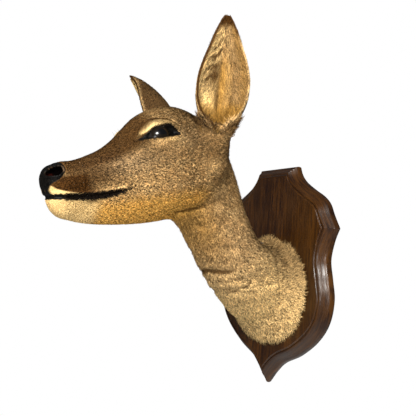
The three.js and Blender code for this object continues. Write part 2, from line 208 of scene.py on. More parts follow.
def noise(tree, vector, scale, detail=3.0, roughness=0.55, distortion=0.0):
    made = node(tree, "ShaderNodeTexNoise", {"Vector": vector, "Scale": scale, "Detail": detail,
                                             "Roughness": roughness, "Distortion": distortion})
    return made.outputs["Fac"]


def raised(tree, height, strength):
    """A shader's normal where height stands up to about half a millimetre out of the surface."""
    made = node(tree, "ShaderNodeBump", {"Height": height, "Strength": strength, "Distance": 0.0006})
    return made.outputs[0]


board_material, tree, shader = new_material("varnished_wood")
place = object_place(tree)
strip = node(tree, "ShaderNodeUVMap", uv_map="grain").outputs["UV"]
field_grain = node(tree, "ShaderNodeMapping", {"Vector": place, "Scale": (1, 1, 0.05)}).outputs[0]
strip_grain = node(tree, "ShaderNodeMapping", {"Vector": strip, "Scale": (0.05, 1, 1)}).outputs[0]
grain_place = mixed(tree, attribute(tree, "moulding"), field_grain, strip_grain)
figure = ramp(tree, noise(tree, grain_place, 110, 3, 0.5, 1.2), 0.35, 0.7)
pores = ramp(tree, noise(tree, grain_place, 900, 4, 0.65), 0.40, 0.56)
cloud = ramp(tree, noise(tree, place, 14, 2), 0.35, 0.75)
mitre = ramp(tree, attribute(tree, "mitre"), 0.72, 0.95)
stain = mixed(tree, figure, (0.014, 0.0046, 0.0007, 1), (0.040, 0.0140, 0.0018, 1))
stain = mixed(tree, pores, (0.008, 0.0025, 0.001, 1), stain)
stain = mixed(tree, cloud, stain, (0.018, 0.008, 0.002, 1), "SCREEN")
stain = mixed(tree, mitre, stain, (0.004, 0.0015, 0.0008, 1))
waves = product(tree, noise(tree, place, 45, 2), 1.6)
relief = sum_of(tree, product(tree, pores, 0.35), product(tree, mitre, -1.5), waves)
feed(tree, shader, {"Base Color": stain,
                    "Roughness": laid_out(tree, noise(tree, place, 60, 4), 0.22, 0.42),
                    "Normal": raised(tree, relief, 0.35),
                    "Specular IOR Level": 0.25,
                    "Coat Weight": 0.25,
                    "Coat Roughness": 0.14})

top_edge = np.linspace((0, SHIELD_TOP[0][1]), SHIELD_TOP[0], 10)[:-1]
half = np.vstack([top_edge, spline(SHIELD_TOP, 8), spline(SHIELD_SIDE, 10)[1:]])
outline = np.vstack([half, (half[1:-1] * (-1, 1))[::-1]])[::-1]
profile = spline(MOULDING, 4)
ring = len(outline)
length_round = np.cumsum(np.linalg.norm(np.roll(outline, -1, axis=0) - outline, axis=1))
points, along, depth_in = [], [], []
for inward, height in profile:
    inner = moved_in(outline, inward)
    points.append(np.stack([inner[:, 0], np.full(ring, -height), inner[:, 1]], axis=1))
    along.append(length_round)
    depth_in.append(np.full(ring, inward))
for inward, height in (profile[0], profile[-1]):
    points.append([(0, -height, FACE_MIDDLE[0])])
    along.append([0])
    depth_in.append([FACE_MIDDLE[1]])
points, along, depth_in = np.vstack(points), np.concatenate(along), np.concatenate(depth_in)
a = (np.arange(len(profile) - 1)[:, None] * ring + np.arange(ring)).ravel()
b = (np.arange(len(profile) - 1)[:, None] * ring + (np.arange(ring) + 1) % ring).ravel()
walls = np.vstack([np.stack([a, b, b + ring], axis=1), np.stack([a, b + ring, a + ring], axis=1)])
this, following = np.arange(ring), (np.arange(ring) + 1) % ring
back_middle, front_middle = len(profile) * ring, len(profile) * ring + 1
last = (len(profile) - 1) * ring
back_cap = np.stack([following, this, np.full(ring, back_middle)], axis=1)
front_cap = np.stack([this + last, following + last, np.full(ring, front_middle)], axis=1)
board = mesh_piece("shield_board", points, np.vstack([walls, back_cap, front_cap]), board_material)
point_values(board, "moulding", depth_in < FIELD_FROM)
# The mitre's points: those at the shoulders, as far in as the moulding goes.
at_shoulder = np.hypot(np.abs(outline[:, 0]) - SHOULDER[0], outline[:, 1] - SHOULDER[1]) < 0.01
on_mitre = np.concatenate([np.tile(at_shoulder, len(profile)), [False, False]])
point_values(board, "mitre", on_mitre & (depth_in < FIELD_FROM + 0.5))
grain = board.data.uv_layers.new(name="grain")
corner = np.empty(len(board.data.loops), np.int32)
board.data.loops.foreach_get("vertex_index", corner)
grain.data.foreach_set("uv", (np.stack([along[corner], depth_in[corner]], axis=1) * MM).ravel())
shape = bmesh.new()
shape.from_mesh(board.data)
bmesh.ops.remove_doubles(shape, verts=shape.verts, dist=0.02 * MM)
bmesh.ops.dissolve_degenerate(shape, edges=shape.edges, dist=0.005 * MM)
bmesh.ops.triangulate(shape, faces=shape.faces)
shape.to_mesh(board.data)
shape.free()
board.data.set_sharp_from_angle(angle=math.radians(SHARP_EDGE))
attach(board, "root")
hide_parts("plaque_board")


# ---- Screws ----
# Two countersunk steel wood screws go through the board from behind into the foot of the neck.
# They are zinc plated, and a driver has scuffed their slots.
steel, tree, shader = new_material("zinc_steel")
scuffs = noise(tree, object_place(tree), 900, 4, 0.7)
tone = mixed(tree, ramp(tree, scuffs, 0.35, 0.7), (0.30, 0.29, 0.27, 1), (0.55, 0.54, 0.51, 1))
feed(tree, shader, {"Base Color": tone, "Roughness": laid_out(tree, scuffs, 0.3, 0.6), "Metallic": 1.0})
for name in ("screw_1", "screw_2"):
    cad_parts[name].data.materials.clear()
    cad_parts[name].data.materials.append(steel)


# ---- Skin ----
# The tanned skin of the head, ears and neck, drawn in one piece over the carver's form. Its hair
# lies over it, so it keeps inside the outline by the depth of the coat. It is worked out as a
# signed distance, turned into a net of faces, and refined round the eyes, nose and mouth.
NOSE_TIP = np.array([21.8, -300.4, 76.2])
HEAD_YAW, HEAD_PITCH = math.radians(8.6), math.radians(14.1)
HEAD_TURN = np.array(Matrix.Rotation(HEAD_YAW, 3, "Z") @ Matrix.Rotation(HEAD_PITCH, 3, "X"))
LEFT, BACK, UP = HEAD_TURN.T


def curve(*points):
    """A smooth curve through (x, y) points, level beyond the ends."""
    x, y = np.array(points, float).T
    last = len(x) - 1
    low, high = np.maximum(np.arange(last + 1) - 1, 0), np.minimum(np.arange(last + 1) + 1, last)
    slope = (y[high] - y[low]) / (x[high] - x[low])

    def value(v):
        v = np.clip(v, x[0], x[-1])
        i = np.clip(np.searchsorted(x, v) - 1, 0, last - 1)
        h = x[i + 1] - x[i]
        t = (v - x[i]) / h
        u = 1 - t
        return (y[i] * u * u * (1 + 2 * t) + slope[i] * h * t * u * u
                + y[i + 1] * t * t * (3 - 2 * t) - slope[i + 1] * h * t * t * u)
    return value


def smooth_min(a, b, k):
    h = np.maximum(k - np.abs(a - b), 0) / k
    return np.minimum(a, b) - h * h * k / 4


def smooth_max(a, b, k):
    return -smooth_min(-a, -b, k)


def step(v, low, high):
    """0 below low, 1 above high, smooth between. low may be above high."""
    t = np.clip((v - low) / (high - low), 0, 1)
    return t * t * (3 - 2 * t)


def between(v, low, from_low, to_high, high):
    """1 from from_low to to_high, falling smoothly to 0 at low and at high."""
    return step(v, low, from_low) * step(v, high, to_high)


def hill(v, middle, width):
    return np.exp(-((v - middle) / width) ** 2)


def ellipsoid(x, y, z, centre, radii):
    px, py, pz = ((v - c) / r for v, c, r in zip((x, y, z), centre, radii))
    k0 = np.sqrt(px * px + py * py + pz * pz)
    k1 = np.sqrt((px / radii[0]) ** 2 + (py / radii[1]) ** 2 + (pz / radii[2]) ** 2)
    return k0 * (k0 - 1) / np.maximum(k1, 1e-9)


def in_head(points):
    """Points in the head's own frame: back from the nose tip, to the left, up."""
    d = points - NOSE_TIP
    return d @ BACK, d @ LEFT, d @ UP


def from_head(back, left, up):
    return NOSE_TIP + np.outer(back, BACK) + np.outer(left, LEFT) + np.outer(up, UP)


# The head in section, along its length.
top_line = curve((-6, 9.6), (5, 11.2), (18, 12.9), (33, 13), (50, 16.6), (68, 22.5), (86, 32.5), (100, 43),
                 (114, 52), (134, 58), (152, 59), (170, 54.5), (190, 41), (212, 12))
bottom_line = curve((-6, -28), (4, -31), (12, -38), (27, -45.6), (48, -51.5), (77, -56.8), (105, -60),
                    (135, -60), (160, -53), (190, -40), (215, -30))
half_width = curve((-6, 12.5), (4, 13.8), (14, 15.6), (30, 16.4), (48, 18.4), (66, 22.5), (84, 28.5),
                   (100, 34), (118, 36.5), (140, 35.5), (165, 33.5), (190, 32), (215, 29))
widest_at = curve((-6, -4), (14, -6), (40, -9), (70, -4), (100, 6), (130, 9), (170, 4), (215, 0))
upper_square = curve((-6, 2.4), (30, 2.3), (60, 2.1), (90, 1.85), (115, 1.9), (145, 2.15), (215, 2.1))
lower_square = curve((-6, 2.2), (30, 1.9), (80, 1.75), (140, 1.9), (215, 2.1))
muzzle_front = curve((-40, 9), (-27, 2.6), (-17, 1.4), (-8, -1.2), (-1, -0.9), (5, 1.9), (8, 4.4),
                     (11, 8.5))
NOSE_ROUND = 0.018       # how fast the muzzle's front falls back to its sides
HEAD_BACK = 206.0        # where the back of the skull is cut off
BUMPS = (((122, 26, 31), (20, 9.5, 8.5), 12),      # brow
         ((118, 30, 12), (34, 8, 9), 18),          # cheekbone
         ((140, 25, -14), (36, 15, 34), 20),       # jaw muscle
         ((22, 8, -9), (20, 9, 10), 8),            # whisker pad
         ((8, 8.5, 2.5), (9, 6.5, 8), 5),          # nose wing
         ((15, 3, -29), (14, 9, 9), 8))            # chin


def head_distance(s, left, z):
    side = np.abs(left)
    widest = widest_at(s)
    above = z > widest
    h = np.where(above, top_line(s) - widest, widest - bottom_line(s))
    n = np.where(above, upper_square(s), lower_square(s))
    f = ((side / half_width(s)) ** n + (np.abs(z - widest) / h) ** n) ** (1 / n)
    d = np.hypot(left, z - widest) * (1 - 1 / np.maximum(f, 1e-3))
    d = np.where(f < 1e-3, -10, d)
    for centre, radii, blend in BUMPS:
        d = smooth_min(d, ellipsoid(s, side, z, centre, radii), blend)
    d = smooth_max(d, muzzle_front(z) + left * left * NOSE_ROUND - s, 6)
    return smooth_max(d, s - HEAD_BACK, 16)


# The neck: an oval swept along a bent line, in the plane across the deer, from skull to board.
NECK_LINE = spline([(-134, 118), (-113, 87.5), (-92.6, 51), (-66.8, 13.3), (-40.5, -5.5), (-14, -12),
                    (14, -12)], 5)
neck_depth = curve((0, 36), (0.17, 43), (0.35, 38), (0.55, 40), (0.72, 51), (0.86, 66), (1, 70))
neck_width = curve((0, 32), (0.17, 36), (0.35, 38), (0.55, 43), (0.72, 55), (0.86, 73), (1, 77))
neck_middle = curve((0, -5), (0.4, -3), (1, 0))


def neck_place(points):
    """How far along the neck's line a point lies, 0 to 1, and how far above it, in millimetres."""
    y, z = points[:, 1], points[:, 2]
    nearest, at, over = np.full(len(y), 1e9), np.zeros(len(y)), np.zeros(len(y))
    for i in range(len(NECK_LINE) - 1):
        a, e = NECK_LINE[i], NECK_LINE[i + 1] - NECK_LINE[i]
        t = np.clip(((y - a[0]) * e[0] + (z - a[1]) * e[1]) / (e @ e), 0, 1)
        dy, dz = y - a[0] - e[0] * t, z - a[1] - e[1] * t
        gap = np.hypot(dy, dz)
        closer = gap < nearest
        nearest = np.where(closer, gap, nearest)
        at = np.where(closer, (i + t) / (len(NECK_LINE) - 1), at)
        over = np.where(closer, gap * np.sign(dz * e[0] - dy * e[1]), over)
    return at, over


def neck_distance(points):
    at, over = neck_place(points)
    dx = points[:, 0] - neck_middle(at)
    f = np.hypot(dx / neck_width(at), over / neck_depth(at))
    tube = np.where(f < 1e-3, -30, np.hypot(dx, over) * (1 - 1 / np.maximum(f, 1e-3)))
    skirt = ellipsoid(*points.T, (6.5, -15, -14.5), (79.5, 11, 77.5))
    return smooth_min(tube, skirt, 14)


# The ears: a thin wall bent round a line, open in front, closed to a tube at the foot.
EAR_LENGTH = 130.0
EAR_BOW = 2.4            # how far the line is bowed to the back half way up
EAR_WALL = 2.1
EAR_ZONE = 2.4           # the wall that counts where a point's place on the ears is looked up
ear_radius = curve((0, 12), (18, 18.5), (39, 25), (54, 26), (66, 25), (82, 21), (97, 15.6), (110, 11),
                   (117, 8.0), (122, 5.8), (126, 3.4), (128.5, 1.6), (130, 0.3))
ear_opens = curve((0, 172), (12, 166), (18, 150), (26, 122), (45, 104), (70, 92), (100, 85), (130, 80))
ear_shift = curve((0, 0), (30, 5), (60, 9), (95, 7), (130, 3))


class Ear:
    """One ear: its foot, the line it stands along, the way it opens, and how far its tip hooks
    forward."""
    def __init__(self, name, foot, axis, opening, hook):
        self.name = name
        self.hook = hook
        self.foot = np.array(foot, float)
        self.axis = np.array(axis, float) / np.linalg.norm(axis)
        opening = np.array(opening, float) - self.axis * (self.axis @ np.array(opening, float))
        self.opening = opening / np.linalg.norm(opening)
        self.side = np.cross(self.axis, self.opening)
        self.hand = np.sign(self.side[1])

    def place(self, points):
        """Height up the ear, angle round it from its back, distance from its line."""
        d = points - self.foot
        v = d @ self.axis
        forward = d @ self.opening - self.shift(v)
        across = d @ self.side - self.bow(v)
        return v, np.arctan2(across, -forward), np.hypot(across, forward)

    def bow(self, v):
        """How far the ear's line is bowed to the back of the head."""
        return EAR_BOW * self.hand * np.sin(np.pi * np.clip(v, 0, EAR_LENGTH) / EAR_LENGTH)

    def shift(self, v):
        """How far the ear's line stands forward of its axis."""
        return ear_shift(v) + self.hook * step(v, 98, 130)

    def ridge(self, v, angle):
        """How far the wall bends in along the ear's gristle ridges."""
        turn = angle * self.hand
        main = 2.0 * hill(turn, 0.18, 0.2) - 1.2 * hill(turn, -0.2, 0.2)
        second = 1.4 * hill(turn, 0.7, 0.2) * step(v, 78, 60)
        dip = 0.8 * hill(turn, 0.46, 0.12) * step(v, 70, 55)
        return (main * step(v, 118, 90) + second - dip) * step(v, 14, 30)

    def distance(self, points, wall):
        """The distance to the ear's wall, which thins towards its tip."""
        v, angle, r = self.place(points)
        radius = ear_radius(v) - self.ridge(v, angle)
        lean = np.sqrt(1 + ((ear_radius(v + 1) - ear_radius(v - 1)) / 2) ** 2)
        across = (r - radius) / lean
        past_rim = (np.abs(angle) - np.radians(ear_opens(v)) + 0.04) * np.maximum(radius, 2)
        past_end = np.maximum(v - EAR_LENGTH + 2.0 + 0.5 * np.abs(angle), -4 - v)
        outside = np.hypot(np.maximum(past_rim, 0), across)
        return np.maximum(outside, past_end) - wall / 2 * np.minimum(1, 0.5 + (EAR_LENGTH - v) / 50)

    def holds(self, points, reach, above):
        """Which points lie within reach of the ear's wall, higher up the ear than above."""
        return (np.abs(self.distance(points, EAR_ZONE)) < reach) & (self.place(points)[0] > above)

    def within(self, points):
        """How far inside the middle of the ear's wall points lie, in millimetres."""
        v, angle, r = self.place(points)
        return ear_radius(v) - self.ridge(v, angle) - r

    def from_rim(self, v, angle):
        """How far inside the ear's rim a height and angle lie, along the wall, in millimetres."""
        return (np.radians(ear_opens(v)) - np.abs(angle)) * ear_radius(v)

    def root(self, points):
        """The distance to the round root that the ear stands on, sunk in the head."""
        depth, height, radius = 26, 2, 16.5
        d = points - self.foot
        along = np.clip(d @ self.axis, -depth, height)
        return np.linalg.norm(d - np.outer(along, self.axis), axis=1) - radius


EARS = (Ear("ear_left", (33.4, -123.4, 138), (0.135, -0.055, 0.99), (0.84, -0.54, -0.08), 0),
        Ear("ear_right", (-40.5, -134.5, 139), (-0.655, -0.09, 0.75), (-0.52, -0.8, -0.32), 4))

# The left eye in the head's frame, and the lids' edges over it. Everything that lies less than
# BESIDE out from the head's middle is kept clear of the eyes' shapes and marks.
EYE = (116.0, 26.0, 25.5)
EYE_RADIUS = 13.0
EYE_OPEN = (95.8, 135.6)
BESIDE = 12.0
upper_lid = curve((92, 23.7), (96.4, 25.7), (100.1, 28.5), (104.7, 31.9), (110, 34), (115.3, 35.1),
                  (121.5, 36), (127, 35.9), (131, 33.8), (134, 29.8), (135.8, 26.8))
lower_lid = curve((92, 23.4), (96.4, 24.9), (101.2, 25.4), (105.4, 25.3), (110, 25), (115, 25),
                  (120.6, 25.4), (126.8, 25.9), (131.2, 26.6), (135.8, 26.6))
eye_crease = curve((93, 26.4), (96.7, 29.6), (101.9, 35), (107.9, 39.5), (113.1, 42), (120.1, 44),
                   (128.2, 43.2), (135.7, 41), (140.6, 35.4), (143, 30))
mouth_line = curve((0, -17.4), (6, -18.6), (15, -19.9), (26, -21.4), (40, -22.7), (55, -23.1), (68, -22.3),
                   (77, -20.6))


def lid_gap(s, z):
    """Below zero where the eye is open, and about the distance to the lids' edge elsewhere."""
    above_or_below = np.maximum(z - upper_lid(s), lower_lid(s) - z)
    return np.maximum(above_or_below, np.maximum(EYE_OPEN[0] - s, s - EYE_OPEN[1]))


def by_the_eyes(s, side):
    """Which points lie on the stretch of the head's sides that holds the eyes."""
    return (s > 80) & (s < 150) & (side > BESIDE)


# A nostril's comma, as places along it with its half width at each, and the wall left in front
# of it. The right one's is thicker, so that it leaves the nose's outline whole.
NOSTRIL = (((4.8, 7.6, 2.2), 2.3), ((8.0, 10.2, 3.2), 3.9), ((11.4, 12, 4.8), 2.8), ((13.4, 12, 6.2), 1.0))
LEFT_WALL, RIGHT_WALL = 1.7, 4.0
NOSTRIL_EDGE = 1.0       # how round the hole's edge is


def nostril_distance(s, left, z):
    """Distance to the nostrils, two holes that run inwards behind a wall at the nose's front."""
    side = np.abs(left)
    wall = np.where(left > 0, LEFT_WALL, RIGHT_WALL)
    best = np.full(len(s), 1e9)
    for (a, ra), (b, rb) in zip(NOSTRIL, NOSTRIL[1:]):
        a, b = np.array(a), np.array(b)
        e = b - a
        ps, pl, pz = s - a[0], side - a[1], z - a[2]
        t = np.clip((ps * e[0] + pz * e[2]) / (e[0] ** 2 + e[2] ** 2), 0, 1)
        out = pl - e[1] * t
        sideways = 0.55 * np.maximum(out, 0) + 1.1 * np.maximum(-out - 4, 0)
        gap = np.sqrt((ps - e[0] * t) ** 2 + (pz - e[2] * t) ** 2 + sideways ** 2)
        best = np.minimum(best, gap - (ra + (rb - ra) * t))
    return np.maximum(best, wall + muzzle_front(z) + NOSE_ROUND * side ** 2 - s)


# Folds of the skin where the neck bends: points on the deer's left, repeated on its right, then
# how deep and how wide each is. The skin lies FOLD_LINE_DEPTH under those points.
FOLD_LINE_DEPTH = 2.8
FOLD_RELIEF = 0.62       # how much of those depths the skin shows under its coat
FOLDS = ((((9, -84, -24), (27, -74, -21), (36, -65, -19), (44, -53, -15), (49, -41, -11), (56, -30, -6)),
          2.0, 2.2),
         (((19, -88, -12), (28, -82, -9), (38, -66, -8), (44, -54, -7), (47, -42, -4), (54, -29, 2)),
          1.5, 2.0),
         (((18, -153, 57), (23, -145, 60), (27, -135, 63), (31, -126, 68), (33, -114, 72)), 1.4, 3.0),
         (((16, -130, 48), (20, -125, 46), (23, -121, 45)), 1.0, 1.8),
         (((3, -46, -60), (21, -46, -53), (31, -41, -50), (40, -33, -51)), 1.4, 2.4),
         (((13, -23, 42), (25, -25, 34), (38, -28, 24), (50, -29, 10)), 2.6, 3.4),
         (((15, -114, 22), (22, -108, 21), (29, -101, 23), (35, -89, 27)), 1.0, 2.2),
         (((-2, -100, 2), (12, -98, -2), (26, -88, 0)), 1.2, 2.4))


def fold_depth(points):
    """How far the folds draw the skin in; below zero where it rolls up beside them."""
    p = np.abs(points) * (1, 0, 0) + points * (0, 1, 1)
    total = np.zeros(len(p))
    for line, deep, wide in FOLDS:
        gap = np.full(len(p), 1e9)
        for a, b in zip(np.array(line, float), np.array(line[1:], float)):
            e = b - a
            t = np.clip(((p - a) @ e) / (e @ e), 0, 1)
            gap = np.minimum(gap, np.linalg.norm(p - a - t[:, None] * e, axis=1))
        gap = np.sqrt(np.maximum(gap ** 2 - FOLD_LINE_DEPTH ** 2, 0))
        total += FOLD_RELIEF * deep * (hill(gap, 0, 1.3 * wide) - 0.25 * hill(gap, 3.1 * wide, 1.7 * wide))
    return total


def coat_depth(points, s):
    """How deep the coat lies on the skin: short on the face, deepest at the foot of the neck."""
    at, _ = neck_place(points)
    on_neck = step(points[:, 1], -150, -90) * step(points[:, 2], 150, 90)
    return 0.7 + 1.2 * step(s, 20, 110) + on_neck * (1.2 + 1.8 * step(at, 0.3, 0.9))


def body_distance(points):
    """The skin without its ears and fine shapes."""
    s, left, z = in_head(points)
    d = smooth_min(head_distance(s, left, z), neck_distance(points), 22)
    for ear in EARS:
        d = smooth_min(d, ear.root(points), 14)
    return d + coat_depth(points, s)


def face_shapes(d, points):
    """Lids, eye openings, nostrils, mouth and folds worked into the skin's distance."""
    s, left, z = in_head(points)
    side = np.abs(left)
    # Lids: a swelling over the eyeball, opened along the lids' edges.
    near = by_the_eyes(s, side)
    from_eye = np.sqrt((s - EYE[0]) ** 2 + (side - EYE[1]) ** 2 + (z - EYE[2]) ** 2)
    gap = np.where(near, lid_gap(s, z), 9)
    d = smooth_min(d, from_eye - EYE_RADIUS - 1.3, 4)
    d = d - 0.5 * hill(gap, 1.0, 0.9)
    crease = near * hill(z, eye_crease(s), 1.5) * between(s, 94, 99, 134, 145)
    tear = near * hill(z, 24.6 - (97 - s) * 0.2, 1.1) * between(s, 88, 92, 96, 100)
    below = near * hill(z, 11.4 + (s - 107) * 0.16, 1.2) * between(s, 104, 108, 117, 123)
    d = d + 1.5 * crease + 1.5 * tear + 0.8 * below
    opening = np.maximum(gap, np.maximum(EYE_RADIUS - 1.4 - from_eye, -d - 3.0))
    d = smooth_max(d, -opening, 0.7)
    # Nose: a raised wing round each nostril, the hole itself, and a groove down the middle.
    nostril = nostril_distance(s, left, z)
    d = d - 0.9 * hill(np.maximum(nostril - 0.8, 0), 0, 1.8) * step(s, 30, 20)
    d = smooth_max(d, -nostril, NOSTRIL_EDGE)
    d = d + 0.7 * hill(left, 0, 1.0) * step(s, 7, 3) * step(z, 4, -2)
    # Mouth: a slit under the fuller upper lip.
    slit = step(s, 79, 70)
    d = d + (2.2 * hill(z, mouth_line(s), 1.0) - 0.7 * hill(z, mouth_line(s) + 3.2, 2.2)) * slit
    return d + fold_depth(points)


SKIN_BACK = -17.6        # the skin's flat back, just in front of the board's field


def skin_distance(points, ear_wall, fine=True):
    """The whole skin. Without fine it has no shapes on the face but the holes of the nostrils."""
    d = body_distance(points)
    if fine:
        d = face_shapes(d, points)
    else:
        s, left, z = in_head(points)
        d = np.where(s < 30, smooth_max(d, -nostril_distance(s, left, z), NOSTRIL_EDGE), d)
    for ear in EARS:
        d = smooth_min(d, ear.distance(points, ear_wall), 4)
    return smooth_max(d, points[:, 1] - SKIN_BACK, 0.8)


def gradient(distance, points):
    """The distance at points, and its slope there."""
    nudge = 0.12
    here = distance(points)
    slope = np.empty_like(points)
    for axis in range(3):
        moved = points.copy()
        moved[:, axis] += nudge
        slope[:, axis] = (distance(moved) - here) / nudge
    return here, slope


def settled(distance, points, times, most=1.0):
    """Points drawn onto the surface where the distance is zero."""
    for _ in range(times):
        d, slope = gradient(distance, points)
        move = slope * (d / np.maximum((slope ** 2).sum(axis=1), 0.25))[:, None]
        size = np.linalg.norm(move, axis=1)
        points = points - move * np.minimum(1, most / np.maximum(size, 1e-9))[:, None]
    return points


# The net: the box that holds it, the size of its cells, and how many a first look steps over,
# so that only the blocks of cells within BLOCK_REACH of the surface are worked out.
SKIN_LOW, SKIN_HIGH = np.array([-136.0, -310.0, -104.0]), np.array([96.0, -8.0, 274.0])
SKIN_STEP = 2.2
BLOCK = 4
BLOCK_REACH = 13.0


def net(distance, low, high, size):
    """Points and four-sided faces on the surface, one point for each cell that it crosses."""
    count = np.ceil((high - low) / (size * BLOCK)).astype(int) * BLOCK + 1
    axes = [low[i] + size * np.arange(count[i]) for i in range(3)]
    rough = np.stack(np.meshgrid(*[a[::BLOCK] for a in axes], indexing="ij"), axis=-1)
    value = distance(rough.reshape(-1, 3)).reshape(rough.shape[:3])
    near = np.abs(value) < BLOCK_REACH
    for axis in range(3):
        value, near = (np.repeat(array, BLOCK, axis=axis) for array in (value, near))
        keep = [slice(None)] * 3
        keep[axis] = slice(0, count[axis])
        value, near = value[tuple(keep)], near[tuple(keep)]
    reach = near.copy()
    for axis in range(3):
        for shift in (-BLOCK + 1, BLOCK - 1):
            reach |= np.roll(near, shift, axis=axis)
        near = reach.copy()
    where = np.argwhere(reach)
    value[reach] = distance(low + where * size)
    inside = value < 0
    corner = np.zeros(np.array(value.shape) - 1, int)
    for i, j, k in np.ndindex(2, 2, 2):
        corner += inside[i:i + corner.shape[0], j:j + corner.shape[1], k:k + corner.shape[2]]
    cells = np.argwhere((corner > 0) & (corner < 8))
    number = np.full(corner.shape, -1)
    number[tuple(cells.T)] = np.arange(len(cells))
    total, crossings = np.zeros((len(cells), 3)), np.zeros(len(cells))
    for axis in range(3):
        one = np.eye(3, dtype=int)[axis]
        for across in np.ndindex(2, 2):
            start = np.insert(np.array(across), axis, 0)
            a = value[tuple((cells + start).T)]
            b = value[tuple((cells + start + one).T)]
            crossed = (a < 0) != (b < 0)
            t = np.where(crossed, a / np.where(crossed, a - b, 1), 0)
            total += crossed[:, None] * (start + one * t[:, None])
            crossings += crossed
    points = low + (cells + total / crossings[:, None]) * size
    faces = []
    for axis in range(3):
        one, u, v = np.eye(3, dtype=int)[[axis, (axis + 1) % 3, (axis + 2) % 3]]
        first = inside[:-1, :-1, :-1]
        second = np.roll(inside, -1, axis=axis)[:-1, :-1, :-1]
        edges = np.argwhere(first != second)
        edges = edges[(edges @ u > 0) & (edges @ v > 0)]
        quad = np.stack([number[tuple((edges - shift).T)] for shift in (0 * u, u, u + v, v)], axis=1)
        outward = inside[tuple(edges.T)]
        faces.append(np.where(outward[:, None], quad, quad[:, ::-1]))
    return points, np.vstack(faces)


def relaxed(points, triangles):
    """Points moved half way to the middle of their neighbours."""
    total, count = np.zeros_like(points), np.zeros(len(points))
    for a, b in ((0, 1), (1, 2), (2, 0)):
        for p, q in ((a, b), (b, a)):
            for axis in range(3):
                total[:, axis] += np.bincount(triangles[:, p], points[triangles[:, q], axis], len(points))
            count += np.bincount(triangles[:, p], minlength=len(points))
    return 0.5 * points + 0.5 * total / np.maximum(count, 1)[:, None]


def refined(points, triangles, chosen):
    """Triangles whose corners are all chosen are cut in four, and their neighbours to fit."""
    edges = np.sort(np.vstack([triangles[:, [0, 1]], triangles[:, [1, 2]], triangles[:, [2, 0]]]), axis=1)
    both = chosen[edges].all(axis=1)
    key = edges[:, 0].astype(np.int64) * len(points) + edges[:, 1]
    unique, place = np.unique(key[both], return_inverse=True)
    middle = np.full(len(edges), -1)
    middle[both] = len(points) + place
    middle = middle.reshape(3, -1).T
    ends = np.stack([unique // len(points), unique % len(points)], axis=1)
    cut = (middle >= 0).sum(axis=1)
    whole = triangles[cut == 0]
    t, m = triangles[cut == 3], middle[cut == 3]
    parts = [whole, np.stack([t[:, 0], m[:, 0], m[:, 2]], 1), np.stack([m[:, 0], t[:, 1], m[:, 1]], 1),
             np.stack([m[:, 2], m[:, 1], t[:, 2]], 1), m]
    t, m = triangles[cut == 1], middle[cut == 1]
    for side in range(3):
        one = m[:, side] >= 0
        a, b, c = t[one, side], t[one, (side + 1) % 3], t[one, (side + 2) % 3]
        parts += [np.stack([a, m[one, side], c], 1), np.stack([m[one, side], b, c], 1)]
    return np.vstack([points, points[ends].mean(axis=1)]), np.vstack(parts)


# The ears' walls start thick enough for the net to catch them, and are thinned round by round.
EAR_WALLS = (5.4, 4.4, 3.5, 2.7, EAR_WALL)
skin_points, quads = net(lambda p: skin_distance(p, EAR_WALLS[0], False), SKIN_LOW, SKIN_HIGH, SKIN_STEP)
skin_faces = np.vstack([quads[:, [0, 1, 2]], quads[:, [0, 2, 3]]])
for wall in EAR_WALLS:
    skin_points = relaxed(skin_points, skin_faces)
    skin_points = settled(lambda p: skin_distance(p, wall, False), skin_points, 2)


def true_skin(points):
    return skin_distance(points, EAR_WALL)


def near_detail(points, margin):
    """Which points lie round the eyes, the nostrils and the mouth."""
    s, left, z = in_head(points)
    eye = (np.hypot(0.86 * (s - 115), z - 29) < 20.5 + margin) & (np.abs(left) > BESIDE)
    nose = (s < 22 + margin) & (z > -22)
    mouth = (s < 80) & (np.abs(z - mouth_line(s) - 1) < 3 + margin)
    return eye | nose | mouth


on_ears = np.array([(np.abs(ear.distance(skin_points, EAR_WALL)) < 1.5) & (ear.place(skin_points)[0] > 0)
                    for ear in EARS]).any(axis=0)
skin_points, skin_faces = refined(skin_points, skin_faces, near_detail(skin_points, 5) | on_ears)
skin_points, skin_faces = refined(skin_points, skin_faces, near_detail(skin_points, 0))
skin_points = settled(lambda p: skin_distance(p, EAR_WALL, False), skin_points, 1, 0.5)
for _ in range(3):
    skin_points = settled(true_skin, skin_points, 3, 0.7)
    skin_points = relaxed(skin_points, skin_faces)
skin_points = settled(true_skin, skin_points, 3, 0.5)
_, skin_normals = gradient(true_skin, skin_points)
skin_normals /= np.linalg.norm(skin_normals, axis=1)[:, None]


# ---- Markings ----
# The coat's colours, the same on the skin and on the hair: tan flecked with brown, dark along
# the face's top and on the whisker pads, cream on chin, lips, brows and inside the ears, ochre
# under the jaw, and bare black skin on the nose, the lips and the lids' edges. Some marks are
# painted shade, in the folds and creases, under the jaw and eye and at the neck's foot, and the
# inside of each ear carries painted light and shade.
stripe_top = curve((0, -6.8), (2.2, -8.3), (5.5, -11.2), (9.4, -13.2), (14.5, -15.0), (20, -16.6),
                   (30, -18.8), (42, -20.4))
lips = curve((0, 2.7), (12, 2.5), (26, 2.6), (40, 3.1), (55, 3.0), (66, 2.3), (74, 1.3), (80, 0.4))
pad_edge = curve((-30, -3), (-20, 2.9), (-12, 1.4), (-7, 2.3), (-5.3, 4.6), (-3.3, 8.5), (0.5, 13.5),
                 (4.6, 16.6), (8.5, 17.4), (12.5, 17))
ARC_SPACING = 11.5       # between the smoky arcs inside an ear


